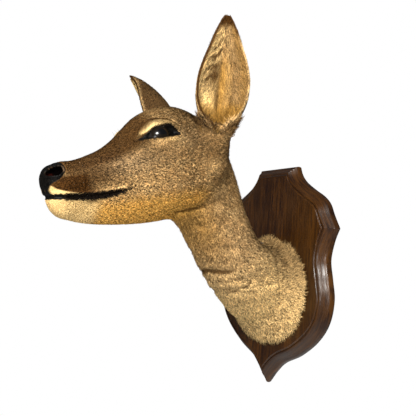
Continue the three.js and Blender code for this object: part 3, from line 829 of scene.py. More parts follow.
def ear_markings(points, mark):
    """Adds the ears' colours to the marks, with painted light and shade across the inside of each ear, each
    as far as a point lies on that ear.
    """
    for ear in EARS:
        v, angle, _ = ear.place(points)
        on = step(v, 2, 16) * step(np.abs(ear.distance(points, EAR_ZONE)), 6, 2.5)
        inside = step(ear.within(points), -0.5, 0.5)
        turn = angle * ear.hand
        from_rim = ear.from_rim(v, angle)
        rim = step(from_rim, 1.6, 0.4) * np.maximum(step(turn, 0.6, -0.2), step(v, 98, 112))
        tip = step(v, 111, 121)
        face_half = step(turn, -0.1, -0.3)
        # Smoky arcs over the half nearer the face, darkest in a spot beside the groove.
        waves = 0.9 * np.sin(turn * 6 + v * 0.13)
        arcs = np.sin((v + 14 * np.abs(turn)) * (2 * np.pi / ARC_SPACING) - 1.2 + waves)
        arcs = 0.95 * step(arcs, -0.5, 0.6) * face_half * step(turn, -1.3, -0.8)
        arcs = arcs * between(v, 54, 64, 104, 114)
        spot = hill(v, 67, 14) * hill(turn, -0.45, 0.38)
        groove = 0.78 * hill(turn, -0.22, 0.16) * between(v, 24, 34, 80, 96)
        streak = 0.66 * hill(turn, 0.46, 0.08) * between(v, 22, 30, 50, 60)
        # Smokier on the half away from the face and less so on the half nearer it: painted shade and
        # painted light across the inside of the ear.
        smoke = 0.22 + 0.2 * step(turn, 0.3, 0.8) + 0.16 * hill(v, 84, 14) * hill(turn, 0.62, 0.3)
        smoke = smoke - 0.22 * face_half
        patch = 0.75 * hill(v, 66, 5) * hill(turn, 1.42, 0.2)
        foot = 0.55 * step(v, 27, 15)
        low = 0.6 * step(v, 40, 28)
        dark_in = np.maximum.reduce([arcs, spot, groove, streak, smoke, patch, low, foot, tip, 0.95 * rim])
        # The right ear has a band of painted light, cream and less dark, inside the rim that lies away from
        # the face.
        edge = step(turn, 0.3, 0.7) * step(from_rim, 14, 8) * (ear.name == "ear_right")
        dark_in = dark_in * (1 - 0.85 * edge)
        dark_out = np.maximum.reduce([0.84 * step(from_rim, 1, 5), rim, tip])
        cream = hill(v, 45, 13) * hill(turn, -0.85, 0.45)
        # The half nearer the face is paler here as painted light.
        pale_in = np.maximum.reduce([0.5 * face_half, cream, 0.16 * hill(turn, 0.2, 0.14)])
        pale_in = pale_in * (1 - 0.9 * rim) * between(v, 22, 38, 108, 123)
        pale_in = np.maximum(pale_in, 0.8 * edge * step(v, 127, 120))
        pale_out = 0.16 * step(from_rim, 4, 1) * (1 - tip) * step(v, 14, 26)
        gold = np.maximum.reduce([step(v, 46, 32), 0.8 * hill(turn, 0, 0.32) * step(v, 96, 70),
                                  0.45 * hill(turn, 1.2, 0.4)])
        dark = dark_in * inside + dark_out * (1 - inside)
        pale = pale_in * inside + pale_out * (1 - inside)
        own = {"dark": dark, "pale": pale, "gold": gold * inside, "grey": 0.35 * (1 - inside),
               "even": 0.25 * inside}
        for name, value in own.items():
            mark[name] = mark[name] * (1 - on) + value * on


def fine_creases(points):
    """1 in the short fine creases that run round the lower neck, 0 between them."""
    at, over = neck_place(points)
    around = np.arctan2(points[:, 0] - neck_middle(at), over)
    line = np.abs(np.sin(at * 74 + 0.9 * np.sin(3 * around + 9 * at) + 0.5 * np.sin(7 * around + 2)))
    broken = step(np.sin(2.3 * around + 17 * at) + 0.6 * np.sin(11 * around + 5 * at), -0.1, 0.7)
    return step(line, 0.34, 0.08) * broken * step(at, 0.34, 0.45) * step(points[:, 1], -24, -34)


def markings(points):
    """How far each mark takes over at points: dark, pale, gold, grey, bare, and even, where the
    coat has less fleck."""
    s, left, z = in_head(points)
    side = np.abs(left)
    at, over = neck_place(points)
    upward = over / neck_depth(at)
    on_head = step(head_distance(s, left, z) - neck_distance(points), 14, -10)
    rise = (z - widest_at(s)) / np.maximum(top_line(s) - widest_at(s), 4)
    lids = np.where(by_the_eyes(s, side), lid_gap(s, z), 9)
    nostril = nostril_distance(s, left, z)
    lip_half = lips(s) + 0.5 * np.sin(s * 1.3) * np.sin(s * 0.41 + 1)
    lip = step(np.abs(z - mouth_line(s) + 0.2), lip_half + 0.5, lip_half - 0.4) * step(s, 82, 78)
    # Bare skin.
    bare = np.maximum(step(s - pad_edge(z), 0.8, -0.6) * step(z, -24, -21), step(nostril, 2.6, 1.9))
    bare = np.maximum(bare, lip)
    thick = 0.9 * step(z, upper_lid(s) - 1, upper_lid(s) + 0.6) * step(s, 106, 122)
    bare = np.maximum(bare, step(lids - thick, 1.7, 1.0))
    tear = (side > BESIDE) * hill(z, 25.0 - (97 - s) * 0.24, 1.5) * between(s, 90, 93, 97, 100)
    bare = np.maximum(bare, tear)
    # Dark: the bridge and forehead, the whisker pads, a line behind each eye, the ears' feet.
    bridge = step(rise, 0.10, 0.62) * between(s, 4, 12, 106, 136)
    crown = 0.34 * step(rise, 0.45, 0.85) * between(s, 80, 110, 150, 200)
    whiskers = step(z, 4, -3) * step(z, stripe_top(s) - 0.6, stripe_top(s) + 0.6) * step(s, 62, 34)
    muzzle = 0.84 * between(s, 10, 20, 48, 92) * step(z, -20, -8)
    behind = 0.9 * hill(z, 30 - (s - 134.5) * 1.7, 2) * between(s, 133, 135, 137, 140) * (side > BESIDE)
    # Painted shade along the crease over the upper lid.
    crease = hill(z, eye_crease(s) + 0.4, 1.7) * between(s, 92, 97, 132, 146) * (side > 8)
    # Painted shade on the cheek below the eye.
    under = 0.50 * hill(s, 110, 30) * hill(z, 13, 11)
    lip_corner = 0.8 * hill(s, 40, 8) * hill(z, -27.2, 1.9)
    foot = hill(s, 171, 5) * step(z, 22, 30) * 0.9
    temple = 0.25 * hill(s, 150, 16) * hill(z, 26, 14)
    dark = np.maximum.reduce([0.93 * bridge, crown, temple, muzzle, whiskers, behind, crease, under,
                              lip_corner, foot])
    # Pale: chin, lip stripe, brow, under the eye.
    chin = step(z, -22.5, -25) * step(s + 2.5 * np.sin(1.9 * z) - 0.3 * (z + 25), 58, 40)
    stripe = 0.6 * step(z, stripe_top(s) + 0.7, stripe_top(s) - 0.7) * step(z, -26, -24) * step(s, 46, 26)
    brow = step(lids, 1.6, 2.6) * step(z, eye_crease(s) - 0.6, eye_crease(s) - 2.2) * step(z, 23, 27)
    brow = brow * between(s, 92, 96, 128, 140) * (1 - 0.6 * step(s, 110, 122)) * (side > BESIDE)
    dark = dark * (1 - 0.85 * brow)
    below_eye = 0.45 * hill(s, 127, 8) * hill(z, 22, 1.8) * (side > BESIDE)
    pale = np.maximum.reduce([0.5 * chin, stripe, brow, below_eye])
    gold = 0.85 * step(z, -24, -40) * between(s, 36, 52, 150, 190)
    grey = 0.9 * hill(s, 74, 34) * hill(z, 4, 13) + 0.45 * hill(s, 150, 18) * hill(z, 24, 14)
    # The neck: darker above and at the nape, with painted shade in its folds and creases, under the jaw and
    # over the top of its foot by the board, and paler down towards the board.
    by_board = step(points[:, 1], -46, -28)
    nape = 0.45 * step(upward, 0.2, 0.9) * step(at, 0.85, 0.45)
    # Painted shadow under the jaw, where the neck meets it.
    shade_under_jaw = 0.4 * step(upward, -0.3, -0.9) * step(at, 0.55, 0.3)
    throat = 0.5 * step(upward, -0.2, -0.8) * step(at, 0.5, 0.25)
    # Painted shade in the folds.
    folds = 0.9 * step(fold_depth(points), 0.2, 0.8)
    # Painted shade over the foot of the neck by the board, darker higher up.
    skirt = (0.05 + 0.62 * step(points[:, 2], -40, 24)) * by_board
    # The fine creases add painted shade too.
    dark_neck = np.maximum.reduce([nape, shade_under_jaw, folds, 0.85 * fine_creases(points), skirt,
                                   0.5 * step(at, 0.38, 0.1)])
    pale_neck = 0.6 * step(at, 0.38, 0.75) * (1 - 0.3 * by_board)
    grey_neck = 0.6 * step(at, 0.2, 0.6)
    for ear in EARS:
        up_ear = ear.place(points)[0]
        stump = 0.55 * between(up_ear, -30, -14, 10, 18) * step(ear.root(points), 12, 4)
        dark, dark_neck = np.maximum(dark, stump), np.maximum(dark_neck, stump)
    # The folds' painted shade lies on the head too, along the jaw.
    dark = np.maximum(dark, folds)
    mark = {"dark": on_head * dark + (1 - on_head) * dark_neck,
            "pale": on_head * pale + (1 - on_head) * pale_neck,
            "even": on_head * np.maximum.reduce([1.3 * chin, 1.7 * stripe, brow]),
            "gold": on_head * gold + (1 - on_head) * throat,
            "grey": on_head * grey + (1 - on_head) * grey_neck,
            "bare": on_head * bare}
    ear_markings(points, mark)
    for ear in EARS:
        mark["bare"] = mark["bare"] * ~ear.holds(points, 6, 4)
    return {name: np.clip(value, 0, 1) for name, value in mark.items()}


def coat_colour_group():
    """The coat's colour, from the marks on a piece and a fine fleck of brown and cream. Height is
    the fleck itself, for the skin's relief."""
    tree = bpy.data.node_groups.new("coat_colour", "ShaderNodeTree")
    tree.interface.new_socket("Color", in_out="OUTPUT", socket_type="NodeSocketColor")
    tree.interface.new_socket("Height", in_out="OUTPUT", socket_type="NodeSocketFloat")
    root = attribute(tree, "root", "Vector")
    blotch = ramp(tree, noise(tree, root, 110, 2), 0.3, 0.7)
    fine = ramp(tree, noise(tree, object_place(tree), 760, 3, 0.7), 0.43, 0.57)
    tufted = ramp(tree, noise(tree, root, 700, 2, 0.6), 0.38, 0.62)
    base = mixed(tree, blotch, (0.385, 0.227, 0.086, 1), (0.48, 0.307, 0.128, 1))
    for name, colour in (("grey", (0.43, 0.285, 0.140, 1)), ("gold", (0.62, 0.335, 0.068, 1)),
                         ("pale", (0.84, 0.60, 0.255, 1)), ("dark", (0.062, 0.025, 0.005, 1))):
        base = mixed(tree, attribute(tree, name), base, colour)
    # The fleck, less of it in even, dark and golden places. A hair is a little lighter at its tip and
    # darker at its root: partly its own colour, partly painted shade deeper in the coat.
    fleck = sum_of(tree, product(tree, attribute(tree, "shade"), 0.40), product(tree, fine, 0.32),
                   product(tree, tufted, 0.28))
    contrast = laid_out(tree, fleck, -0.94, 0.86, 0.23, 0.77)
    plain = sum_of(tree, *(product(tree, attribute(tree, name), share)
                           for name, share in (("even", 1.2), ("dark", 0.3), ("gold", 0.3))))
    calm = calculated(tree, "SUBTRACT", 1.0, product(tree, plain, 0.72), True)
    level = sum_of(tree, product(tree, contrast, calm), 1.0)
    level = product(tree, level, sum_of(tree, product(tree, attribute(tree, "tip"), 0.4), 0.8))
    scaled = node(tree, "ShaderNodeVectorMath", {0: base, "Scale": level}, operation="SCALE")
    node(tree, "NodeGroupOutput", {"Color": scaled.outputs[0], "Height": fine})
    return tree


coat_colour = coat_colour_group()

# The skin itself shows at the nose, lips and lids: black, close pebbled and a little moist.
skin_material, tree, shader = new_material("deer_skin")
coat = node(tree, "ShaderNodeGroup", node_tree=coat_colour)
pebble = node(tree, "ShaderNodeTexVoronoi", {"Vector": object_place(tree), "Scale": 720.0},
              feature="SMOOTH_F1").outputs["Distance"]
bare = attribute(tree, "bare")
hollow = attribute(tree, "hollow")
raw = product(tree, attribute(tree, "raw"), ramp(tree, pebble, 0.3, 0.6))
black = mixed(tree, ramp(tree, pebble, 0.2, 0.7), (0.0040, 0.0034, 0.0026, 1), (0.0012, 0.0010, 0.0009, 1))
# Painted shade in near black without shine deep in the nostrils, raw red low in them, and a painted
# highlight in tan along their rims.
for amount, colour in ((hollow, (0.001, 0.0006, 0.0005, 1)), (raw, (0.06, 0.007, 0.004, 1)),
                       (attribute(tree, "nostril_rim_highlight"), (0.24, 0.145, 0.075, 1))):
    black = mixed(tree, amount, black, colour)
pebbles = product(tree, product(tree, pebble, -1.0), bare)
hairs = product(tree, coat.outputs["Height"], calculated(tree, "SUBTRACT", 1.0, bare))
feed(tree, shader, {"Base Color": mixed(tree, bare, coat.outputs["Color"], black),
                    "Roughness": laid_out(tree, bare, 0.8, 0.46),
                    "Specular IOR Level": product(tree, calculated(tree, "SUBTRACT", 1.0, hollow), 0.09),
                    "Normal": raised(tree, sum_of(tree, pebbles, hairs), 0.6)})

skin = mesh_piece("skin", skin_points, skin_faces, skin_material)
skin_marks = markings(skin_points)
for name, values in skin_marks.items():
    point_values(skin, name, values)
point_values(skin, "shade", np.full(len(skin_points), 0.5))
# The skin gets a hair root's darker colour: partly underfur, partly painted shade under the locks.
point_values(skin, "tip", np.full(len(skin_points), 0.35))
point_vectors(skin, "root", skin_points)
# The nostrils' inside is painted in dull near black as shade, with a little raw skin low in each and a
# painted highlight along the rim above.
s, left, z = in_head(skin_points)
in_nostril = nostril_distance(s, left, z) + 20 * (s > 24)
sunk = step(body_distance(skin_points), 0.2, -0.5) * step(in_nostril, 1.5, 0.8)
point_values(skin, "hollow", sunk)
point_values(skin, "raw", 0.4 * sunk * step(s, 10, 7) * step(z, 3.2, 1.2))
point_values(skin, "nostril_rim_highlight", 0.6 * (1 - sunk) * hill(in_nostril, 0.8, 0.6) * step(z, 2, 5))
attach(skin, "root")
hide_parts("head", "lower_jaw", "nose_pad", "neck", "ear_left", "ear_right")


# ---- Eyes ----
# Blown glass eyes, near black, with a dark brown iris and a pupil drawn out level. Each is set
# behind its lids in the skin.
eye_glass, tree, shader = new_material("eye_glass")
threads = ramp(tree, noise(tree, object_place(tree), 1500, 3, 0.7), 0.3, 0.7)
iris = mixed(tree, threads, (0.003, 0.0022, 0.0012, 1), (0.008, 0.005, 0.0025, 1))
iris = mixed(tree, attribute(tree, "pupil"), iris, (0.0015, 0.0015, 0.002, 1))
iris = mixed(tree, attribute(tree, "white"), iris, (0.012, 0.010, 0.009, 1))
feed(tree, shader, {"Base Color": iris, "Roughness": 0.2, "Specular IOR Level": 0.4})
EYE_ROWS, EYE_COLUMNS = 48, 72
LOOK = (-0.17, 0.90, 0.37)                 # which way an eye looks: back, out and up
LEVEL = (1.0, -LOOK[0] / LOOK[1], 0.0)     # the way its pupil is drawn out
PUPIL = (5.2, 3.2)                         # half its length and half its height
IRIS_EDGE = (9.6, 10.6)                    # from the middle, where the iris starts to end and ends
CORNEA = 0.5                               # how far the eye bulges over the pupil

look, level = (np.array(way) / np.linalg.norm(way) for way in (LOOK, LEVEL))
upright = np.cross(level, look)
turn, round_it = np.meshgrid(np.pi * np.arange(1, EYE_ROWS) / EYE_ROWS,
                             2 * np.pi * np.arange(EYE_COLUMNS) / EYE_COLUMNS, indexing="ij")
turn = np.concatenate([[0], turn.ravel(), [np.pi]])
round_it = np.concatenate([[0], round_it.ravel(), [0]])
wide, high = np.sin(turn) * np.cos(round_it), np.sin(turn) * np.sin(round_it)
bulge = EYE_RADIUS + CORNEA * hill(turn, 0, 0.55)
ball = bulge[:, None] * (np.outer(np.cos(turn), look) + np.outer(wide, level) + np.outer(high, upright))
first = 1 + np.arange(EYE_COLUMNS)
following = 1 + (np.arange(EYE_COLUMNS) + 1) % EYE_COLUMNS
rows = [np.stack([np.zeros(EYE_COLUMNS, int), first, following], 1)]
for row in range(EYE_ROWS - 2):
    a, b = first + row * EYE_COLUMNS, following + row * EYE_COLUMNS
    rows += [np.stack([a, a + EYE_COLUMNS, b + EYE_COLUMNS], 1), np.stack([a, b + EYE_COLUMNS, b], 1)]
a, b = first + (EYE_ROWS - 2) * EYE_COLUMNS, following + (EYE_ROWS - 2) * EYE_COLUMNS
rows.append(np.stack([a, np.full(EYE_COLUMNS, len(ball) - 1), b], 1))
from_pupil = np.hypot(wide * EYE_RADIUS / PUPIL[0], high * EYE_RADIUS / PUPIL[1])
from_middle = np.hypot(wide * EYE_RADIUS, high * EYE_RADIUS)
facing = np.cos(turn) > 0
for name, hand in (("eye_left", 1), ("eye_right", -1)):
    points = from_head(EYE[0] + ball[:, 0], hand * (EYE[1] + ball[:, 1]), EYE[2] + ball[:, 2])
    faces = np.vstack(rows)
    centre = from_head(EYE[0:1], [hand * EYE[1]], EYE[2:3])[0]
    corner = points[faces[0]]
    if np.dot(np.cross(corner[1] - corner[0], corner[2] - corner[0]), corner[0] - centre) < 0:
        faces = faces[:, ::-1]
    eye = mesh_piece("glass_" + name, points, faces, eye_glass)
    point_values(eye, "pupil", step(from_pupil, 1.1, 0.9) * facing)
    point_values(eye, "white", np.maximum(step(from_middle, *IRIS_EDGE), ~facing))
    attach(eye, "root")
    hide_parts(name)


# ---- Coat ----
# The winter coat as thin solid locks that lie back along the head and down the neck, smallest on
# the muzzle and longest where the neck meets the board. Each lock is rooted just under the skin.
LOCK_PATCH = 0.003       # width of one lock's place on its piece's map
MAP_LENGTH = 430.0       # the head takes up one half of a map this long


def on_the_neck(points):
    """0 on the head, 1 on the neck, smooth between."""
    return step(head_distance(*in_head(points)) - neck_distance(points), -12, 14)


def flow(points, normals):
    """The way the hair lies at points, along the skin."""
    s, left, z = in_head(points)
    at, _ = neck_place(points)
    on_neck = on_the_neck(points)
    i = np.clip(at * (len(NECK_LINE) - 1), 0, len(NECK_LINE) - 1.001)
    e = NECK_LINE[i.astype(int) + 1] - NECK_LINE[i.astype(int)]
    down = np.stack([np.zeros(len(e)), e[:, 0], e[:, 1]], axis=1)
    down /= np.linalg.norm(down, axis=1)[:, None]
    # On the board the hair fans out round the neck's foot.
    spread = points - (3, -12, -11)
    spread[:, 1] = 0
    spread /= np.maximum(np.linalg.norm(spread, axis=1), 1)[:, None]
    down = down + spread * step(points[:, 1], -36, -18)[:, None] * 0.35
    outward = np.sign(left) * step(s, 20, 60)
    downward = step(z, 30, -10) * step(s, 60, 120)
    back = BACK + 0.22 * outward[:, None] * LEFT - 0.25 * downward[:, None] * UP
    # Round each eye it parts, up over the brow and down under the lids.
    over_eye = z - EYE[2] - 4
    near_eye = hill(np.hypot(s - EYE[0], over_eye), 12, 9) * (np.abs(left) > 14)
    back = back + 0.7 * (near_eye * over_eye / 14)[:, None] * UP
    lie = back * (1 - on_neck)[:, None] + down * on_neck[:, None]
    for ear in EARS:
        v, angle, _ = ear.place(points)
        on = step(v, -4, 10) * step(np.abs(ear.distance(points, EAR_ZONE)), 6, 2)
        inside = (ear.within(points) > 0) & (v > 6)
        round_it = np.cos(angle)[:, None] * ear.side + np.sin(angle)[:, None] * ear.opening
        inward = -np.sign(angle)[:, None] * round_it
        rim_ward = step(np.abs(angle), 0.35, 1.2) * inside
        along = ear.axis + inward * (0.9 * rim_ward)[:, None]
        lie = lie * (1 - on)[:, None] + along * on[:, None]
    lie -= normals * (lie * normals).sum(axis=1)[:, None]
    return lie / np.maximum(np.linalg.norm(lie, axis=1), 1e-6)[:, None]


def unwrapped(points):
    """A point's place on the skin rolled out flat: head, neck and the two ears side by side."""
    s, left, z = in_head(points)
    at, over = neck_place(points)
    on_neck = neck_distance(points) < head_distance(s, left, z)
    round_neck = np.arctan2(points[:, 0] - neck_middle(at), over)
    u = np.where(on_neck, round_neck, np.arctan2(left, z - widest_at(s)))
    v = np.where(on_neck, 0.5 + at / 2, s / MAP_LENGTH)
    place = np.stack([u / (2 * np.pi) + 0.5, np.clip(v, 0, 1)], axis=1)
    for ear in EARS:
        height, angle, _ = ear.place(points)
        on = ear.holds(points, 4, 4)
        inner = 0.5 * (ear.within(points) > 0)
        place[on, 0] = (0.25 + angle / (4 * np.pi) + inner)[on]
        place[on, 1] = np.clip(height / EAR_LENGTH, 0, 1)[on]
    return place * 0.985 + 0.005


coat_material, tree, shader = new_material("coat_hair")
coat = node(tree, "ShaderNodeGroup", node_tree=coat_colour)
feed(tree, shader, {"Base Color": coat.outputs["Color"], "Roughness": 0.62, "Specular IOR Level": 0.07})

black_hair, tree, shader = new_material("black_hair")
strands = noise(tree, object_place(tree), 500, 2)
strands = mixed(tree, strands, (0.0025, 0.0018, 0.0012, 1), (0.014, 0.008, 0.004, 1))
feed(tree, shader, {"Base Color": strands, "Roughness": 0.6, "Specular IOR Level": 0.1})

# A lock as faces between its corners, where each corner lies on the lock's patch of the map, and
# how far towards the tip it is. A straight lock has three corners at its root and one at its tip.
# A bent one has three more half way.
STRAIGHT = (((0, 1, 2), (0, 2, 3), (2, 1, 3), (1, 0, 3)),
            ((0, 0), (1, 0), (0.5, 0.2), (0.5, 1)),
            (0, 0, 0, 1))
BENT = (((0, 1, 2), (0, 2, 5), (0, 5, 3), (2, 1, 4), (2, 4, 5), (1, 0, 3), (1, 3, 4), (3, 5, 6), (5, 4, 6),
         (4, 3, 6)),
        ((0, 0), (1, 0), (0.5, 0.1), (0.1, 0.6), (0.9, 0.6), (0.5, 0.7), (0.5, 1)),
        (0, 0, 0, 0.55, 0.55, 0.55, 1))
ROOTS_TO, TIPS_TO = -18.5, -17.4     # how near the board roots and tips may come


def shifted(points, way, amount):
    """Points moved a way, each by its own amount."""
    return points + way * np.asarray(amount)[:, None]


def locks(name, slot, chosen, count, length, width, lift, seed, bent=False, stray=0.2, black=False,
          mix=0.0):
    """One piece of the coat: up to count locks rooted on the chosen triangles of the skin.
    length, width and lift are in millimetres, each a number or a function of the roots. stray is
    how far locks turn from the coat's flow, and mix how unevenly their colours are taken."""
    rng = np.random.default_rng(seed)
    faces = skin_faces[chosen]
    a, b, c = (skin_points[faces[:, i]] for i in range(3))
    area = np.linalg.norm(np.cross(b - a, c - a), axis=1)
    pick = np.searchsorted(np.cumsum(area) / area.sum(), rng.random(count))
    w1, w2 = rng.random((2, count))
    over = w1 + w2 > 1
    w1, w2 = np.where(over, 1 - w1, w1), np.where(over, 1 - w2, w2)
    corner = faces[np.minimum(pick, len(faces) - 1)]
    weights = np.stack([1 - w1 - w2, w1, w2], axis=1)
    root = (skin_points[corner] * weights[:, :, None]).sum(axis=1)
    normal = (skin_normals[corner] * weights[:, :, None]).sum(axis=1)
    normal /= np.linalg.norm(normal, axis=1)[:, None]
    hairless = (skin_marks["bare"][corner] * weights).sum(axis=1)
    keep = ((hairless < 0.35) | black) & (root[:, 1] < ROOTS_TO)
    root, normal = root[keep], normal[keep]
    n = len(root)
    lie = flow(root, normal)
    turn = rng.normal(0, 1, n) * (stray(root) if callable(stray) else stray)
    across = np.cross(normal, lie)
    lie = lie * np.cos(turn)[:, None] + across * np.sin(turn)[:, None]
    across = np.cross(normal, lie)
    size = 0.7 + 0.6 * rng.random(n)
    long, wide, high = ((v(root) if callable(v) else np.full(n, float(v))) * size
                        for v in (length, width, lift))
    high = high * (0.45 + 0.9 * rng.random(n)) * (1 - 0.7 * fine_creases(root))
    if "neck" in name:
        # Hair stops short of a fold or crease that it would lie across.
        for part in (1, 0.5):
            ahead = shifted(root, lie, part * long)
            long = long * (1 - 0.45 * np.maximum(fine_creases(ahead), step(fold_depth(ahead), 0.3, 0.8)))
    # A straight lock takes its marks near its root and at its tip, a bent one past its middle.
    near_root, near_tip = (markings(shifted(root, lie, (part + rng.normal(0, mix, n)) * long))
                           for part in ((0.6, 0.6) if bent else (0.2, 1)))
    tip = shifted(shifted(root, lie, long), normal, high)
    if name.startswith("coat_"):
        # The tip keeps to its height over the skin where the skin curves away.
        gap = body_distance(tip) + fold_depth(tip)
        tip = tip - normal * np.clip(gap - high, -0.8, 3)[:, None]
    tip[:, 1] = np.minimum(tip[:, 1], TIPS_TO)
    # Locks of an even colour are flatter, so that less shade falls between them.
    steep = 1 - 0.65 * near_root["even"]
    half_w = across * (wide / 2)[:, None]
    low = shifted(root, normal, -0.3 * steep)
    rows = [low + half_w, low - half_w, shifted(root, normal, wide * 0.35 * steep)]
    if bent:
        middle = shifted(root * 0.45 + tip * 0.55, normal, high * 0.35)
        rows += [middle + half_w * 0.8, middle - half_w * 0.8, shifted(middle, normal, wide * 0.3)]
    points = np.stack(rows + [tip], axis=1).reshape(-1, 3)
    shape, spot, rise_to = (np.array(values) for values in (BENT if bent else STRAIGHT))
    shape, per = shape[:, ::-1], len(spot)
    faces = (np.arange(n)[:, None, None] * per + shape).reshape(-1, 3)
    piece = mesh_piece(name, points, faces, black_hair if black else coat_material)
    for key in near_root:
        if key != "bare" and not black:
            value = np.outer(near_root[key], 1 - rise_to) + np.outer(near_tip[key], rise_to)
            point_values(piece, key, value)
    shade = np.clip(rng.normal(0.5, 0.3, n), 0, 1)
    point_values(piece, "shade", np.repeat(shade, per))
    point_values(piece, "tip", np.tile(rise_to, n))
    point_vectors(piece, "root", np.repeat(root, per, axis=0))
    bake = piece.data.uv_layers.new(name="OFBake")
    patch = unwrapped(root)[:, None, None, :] + spot[shape][None] * LOCK_PATCH
    bake.data.foreach_set("uv", patch.ravel())
    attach(piece, "root")


# The skin's triangles by the part of the deer that they belong to.
middles = skin_points[skin_faces].mean(axis=1)
s_of, left_of, z_of = in_head(middles)
at_of, _ = neck_place(middles)
ear_of = [(ear.place(middles)[0] > 7) & (np.abs(ear.distance(middles, EAR_WALL)) < 1.5) for ear in EARS]
inner_of = [ear.within(middles) > 0 for ear in EARS]
no_ear = ~(ear_of[0] | ear_of[1])
neck_of = no_ear & (head_distance(s_of, left_of, z_of) > neck_distance(middles))
head_of = no_ear & ~neck_of
MUZZLE_TO, FACE_TO = 72.0, 135.0             # along the head
UPPER_NECK_TO = 0.52                         # along the neck's line
LOWER_NECK_TO, SKIRT_FROM = -40.0, -44.0     # towards the board, where the two overlap


def coat_length(roots):
    back, out, up = in_head(roots)
    from_eye = np.sqrt((back - EYE[0]) ** 2 + (np.abs(out) - 36) ** 2 + (up - 30) ** 2)
    long = 2.4 + 1.6 * step(back, 10, 70) + 0.6 * step(back, 115, 150)
    long = long * (0.45 + 0.55 * step(from_eye, 18, 30))
    long = long + (5.5 - long) * on_the_neck(roots)
    creased = np.maximum(step(fold_depth(roots), -0.1, 0.3), fine_creases(roots))
    return long * (1 - 0.5 * creased) + 1.5 * step(roots[:, 1], -32, -22)


def coat_width(roots):
    back = in_head(roots)[0]
    wide = 0.42 + 0.10 * step(back, 50, 90) + 0.08 * step(back, 110, 160)
    return wide + (0.70 - wide) * on_the_neck(roots)


def coat_lift(roots):
    back = in_head(roots)[0]
    high = 0.28 + 0.30 * step(back, 50, 90) + 0.4 * step(back, 110, 165)
    return high + (1.7 - high) * on_the_neck(roots) + 1.0 * step(roots[:, 1], -27, -19)


def coat_stray(roots):
    return 0.22 + 0.10 * step(in_head(roots)[0], 60, 150) + 0.16 * on_the_neck(roots)


def to_ear_tip(roots):
    """1 along an ear, falling to a quarter at its tip."""
    left_ear, right_ear = (ear.place(roots)[0] for ear in EARS)
    up_ear = np.maximum(left_ear * (roots[:, 0] > 0), right_ear * (roots[:, 0] < 0))
    return 0.25 + 0.75 * step(up_ear, 124, 106)


COAT = (("coat_muzzle", "head_coat", head_of & (s_of < MUZZLE_TO), 46000),
        ("coat_face", "head_coat", head_of & (s_of >= MUZZLE_TO) & (s_of < FACE_TO), 49000),
        ("coat_cheeks", "head_coat", head_of & (s_of >= FACE_TO), 48000),
        ("coat_neck_upper", "neck_coat", neck_of & (at_of < UPPER_NECK_TO), 47000),
        ("coat_neck_lower", "neck_coat",
         neck_of & (at_of >= UPPER_NECK_TO) & (middles[:, 1] < LOWER_NECK_TO), 48000),
        ("coat_skirt", "neck_coat", neck_of & (middles[:, 1] >= SKIRT_FROM), 47000))
for seed, (name, slot, chosen, count) in enumerate(COAT, 1):
    locks(name, slot, chosen, count, coat_length, coat_width, coat_lift, seed, stray=coat_stray)

# The ears: short hair behind, long soft hair inside that keeps off the rim, and tufts and a few
# black hairs round their feet.
LINING_FROM_RIM = 2.6    # how far inside the rim the hair inside an ear starts
tufts_of, foot_of = np.zeros(len(middles), bool), np.zeros(len(middles), bool)
for ear, on, inner in zip(EARS, ear_of, inner_of):
    v, angle, _ = ear.place(middles)
    turn = angle * ear.hand
    lined = on & inner & (ear.from_rim(v, angle) > LINING_FROM_RIM)
    by_wall = np.abs(ear.distance(middles, EAR_WALL)) < 3
    tufts_of |= by_wall & (np.abs(v - 13) < 10) & (np.abs(angle) > 1.2)
    foot_of |= on & (np.abs(v - 14) < 6) & ((turn < -1.0) | (np.abs(turn - 0.9) < 0.3))
    locks(ear.name.replace("ear", "back_of_ear"), "ear_coat", on & ~inner, 24000,
          lambda roots: 3.4 * to_ear_tip(roots), 0.5, 0.5, 7)
    locks(ear.name.replace("ear", "ear_lining"), "pale_coat", lined, 8000,
          lambda roots: 8.5 * to_ear_tip(roots), 0.6, 1.3, 8, bent=True, stray=0.26, mix=0.2)

# Black hair: lashes along the upper lids, and a fringe on the lips.
lashed = head_of & (np.abs(left_of) > 14) & (np.abs(lid_gap(s_of, z_of) - 0.9) < 0.7)
lashed = lashed & (z_of > upper_lid(s_of) - 1) & (s_of > 104) & (s_of < 134)
locks("upper_lashes", "head_coat", lashed, 260, 4.5, 0.4, 3.2, 9, stray=0.3, black=True)
lip_of = head_of & (s_of > 12) & (s_of < 80) & (np.abs(z_of - mouth_line(s_of)) < lips(s_of) + 0.6)
locks("lip_hair", "head_coat", lip_of, 5000, 2.4, 0.4, 0.5, 11, stray=0.5, black=True)
locks("ear_foot_tufts", "head_coat", tufts_of, 2600, 6.5, 0.55, 2.4, 12, bent=True, stray=0.55, mix=0.5)
locks("ear_foot_hair", "head_coat", foot_of, 420, 9.0, 0.5, 2.5, 10, bent=True, stray=0.4, black=True)


# ---- Studio ----
# A pale floor well below the mount, as it hangs on a wall, in a pale room. The key light is
# small, above the camera and a little to its left, and weaker lights stand to the right, close
# by on the left, and on the deer's far side.
white, tree, shader = new_material("floor_paint")
feed(tree, shader, {"Base Color": (0.8, 0.8, 0.78, 1), "Roughness": 0.8})
FLOOR_DEPTH, FLOOR_HALF = -1350.0, 2400.0
floor_corners = [(x * FLOOR_HALF, y * FLOOR_HALF, FLOOR_DEPTH)
                 for x, y in ((-1, -1), (1, -1), (1, 1), (-1, 1))]
floor = mesh_piece("floor", floor_corners, [(0, 1, 2, 3)], white, False)
floor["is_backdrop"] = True

world = bpy.data.worlds.new("studio")
bpy.context.scene.world = world
world.use_nodes = True
tree = world.node_tree
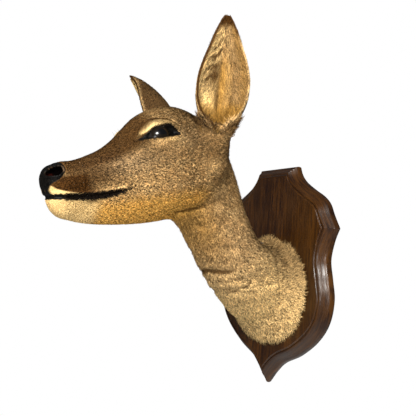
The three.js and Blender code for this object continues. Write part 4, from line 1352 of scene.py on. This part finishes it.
# The room looks white, lights the mount softly and shows only faintly in shiny things.
seen = node(tree, "ShaderNodeBackground", {"Color": (1, 1, 1, 1), "Strength": 1.0})
ray = node(tree, "ShaderNodeLightPath")
dimmed = laid_out(tree, ray.outputs["Is Glossy Ray"], 0.40, 0.10)
lit = node(tree, "ShaderNodeBackground", {"Color": (0.95, 0.97, 1, 1), "Strength": dimmed})
room = node(tree, "ShaderNodeMixShader", {0: ray.outputs["Is Camera Ray"], 1: lit.outputs[0],
                                          2: seen.outputs[0]})
feed(tree, tree.nodes["World Output"], {"Surface": room.outputs[0]})
bpy.context.scene.view_settings.view_transform = "Standard"


def area_light(name, position, target, size, power, tint=(1, 1, 1), mirrored=True):
    """A round soft light in metres, aimed at a point. It shows in shiny things if mirrored."""
    lamp = bpy.data.lights.new(name, "AREA")
    lamp.shape = "DISK"
    lamp.size = size
    lamp.energy = power
    lamp.color = tint
    holder = bpy.data.objects.new(name, lamp)
    holder.location = position
    holder.visible_glossy = mirrored
    aim = Vector(target) - Vector(position)
    holder.rotation_euler = aim.to_track_quat("-Z", "Y").to_euler()
    bpy.context.scene.collection.objects.link(holder)


MIDDLE = (0, -0.15, 0.06)      # metres, as are the lights' places
area_light("key", (1.03, -1.00, 0.66), MIDDLE, 0.24, 39.5, (1, 0.97, 0.92))
area_light("fill", (1.05, -0.55, -0.30), MIDDLE, 0.9, 13, (0.98, 0.98, 1), False)
area_light("edge", (0.75, -1.1, -0.03), (0.09, 0, 0.0), 0.30, 2.2)
area_light("far_side", (-1.10, -0.80, 0.35), MIDDLE, 0.9, 7, (0.98, 0.98, 1), False)

LENS, SENSOR = 54.23, 36.0
CAMERA_PLACE = (0.5744, -0.4820, 0.0144)
CAMERA_RIGHT, CAMERA_UP = Vector((0.5515, 0.8315, 0.0662)), Vector((0.0291, -0.0984, 0.9947))
camera_data = bpy.data.cameras.new("camera")
camera_data.lens = LENS
camera_data.sensor_width = SENSOR
camera = bpy.data.objects.new("camera", camera_data)
turned = Matrix((CAMERA_RIGHT, CAMERA_UP, CAMERA_RIGHT.cross(CAMERA_UP))).transposed()
camera.matrix_world = Matrix.Translation(CAMERA_PLACE) @ turned.to_4x4()
bpy.context.scene.collection.objects.link(camera)
bpy.context.scene.camera = camera

visual_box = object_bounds()
for corners in (cad_box, visual_box):
    json.dumps([[float(v) for v in c] for c in corners]) + "\n"
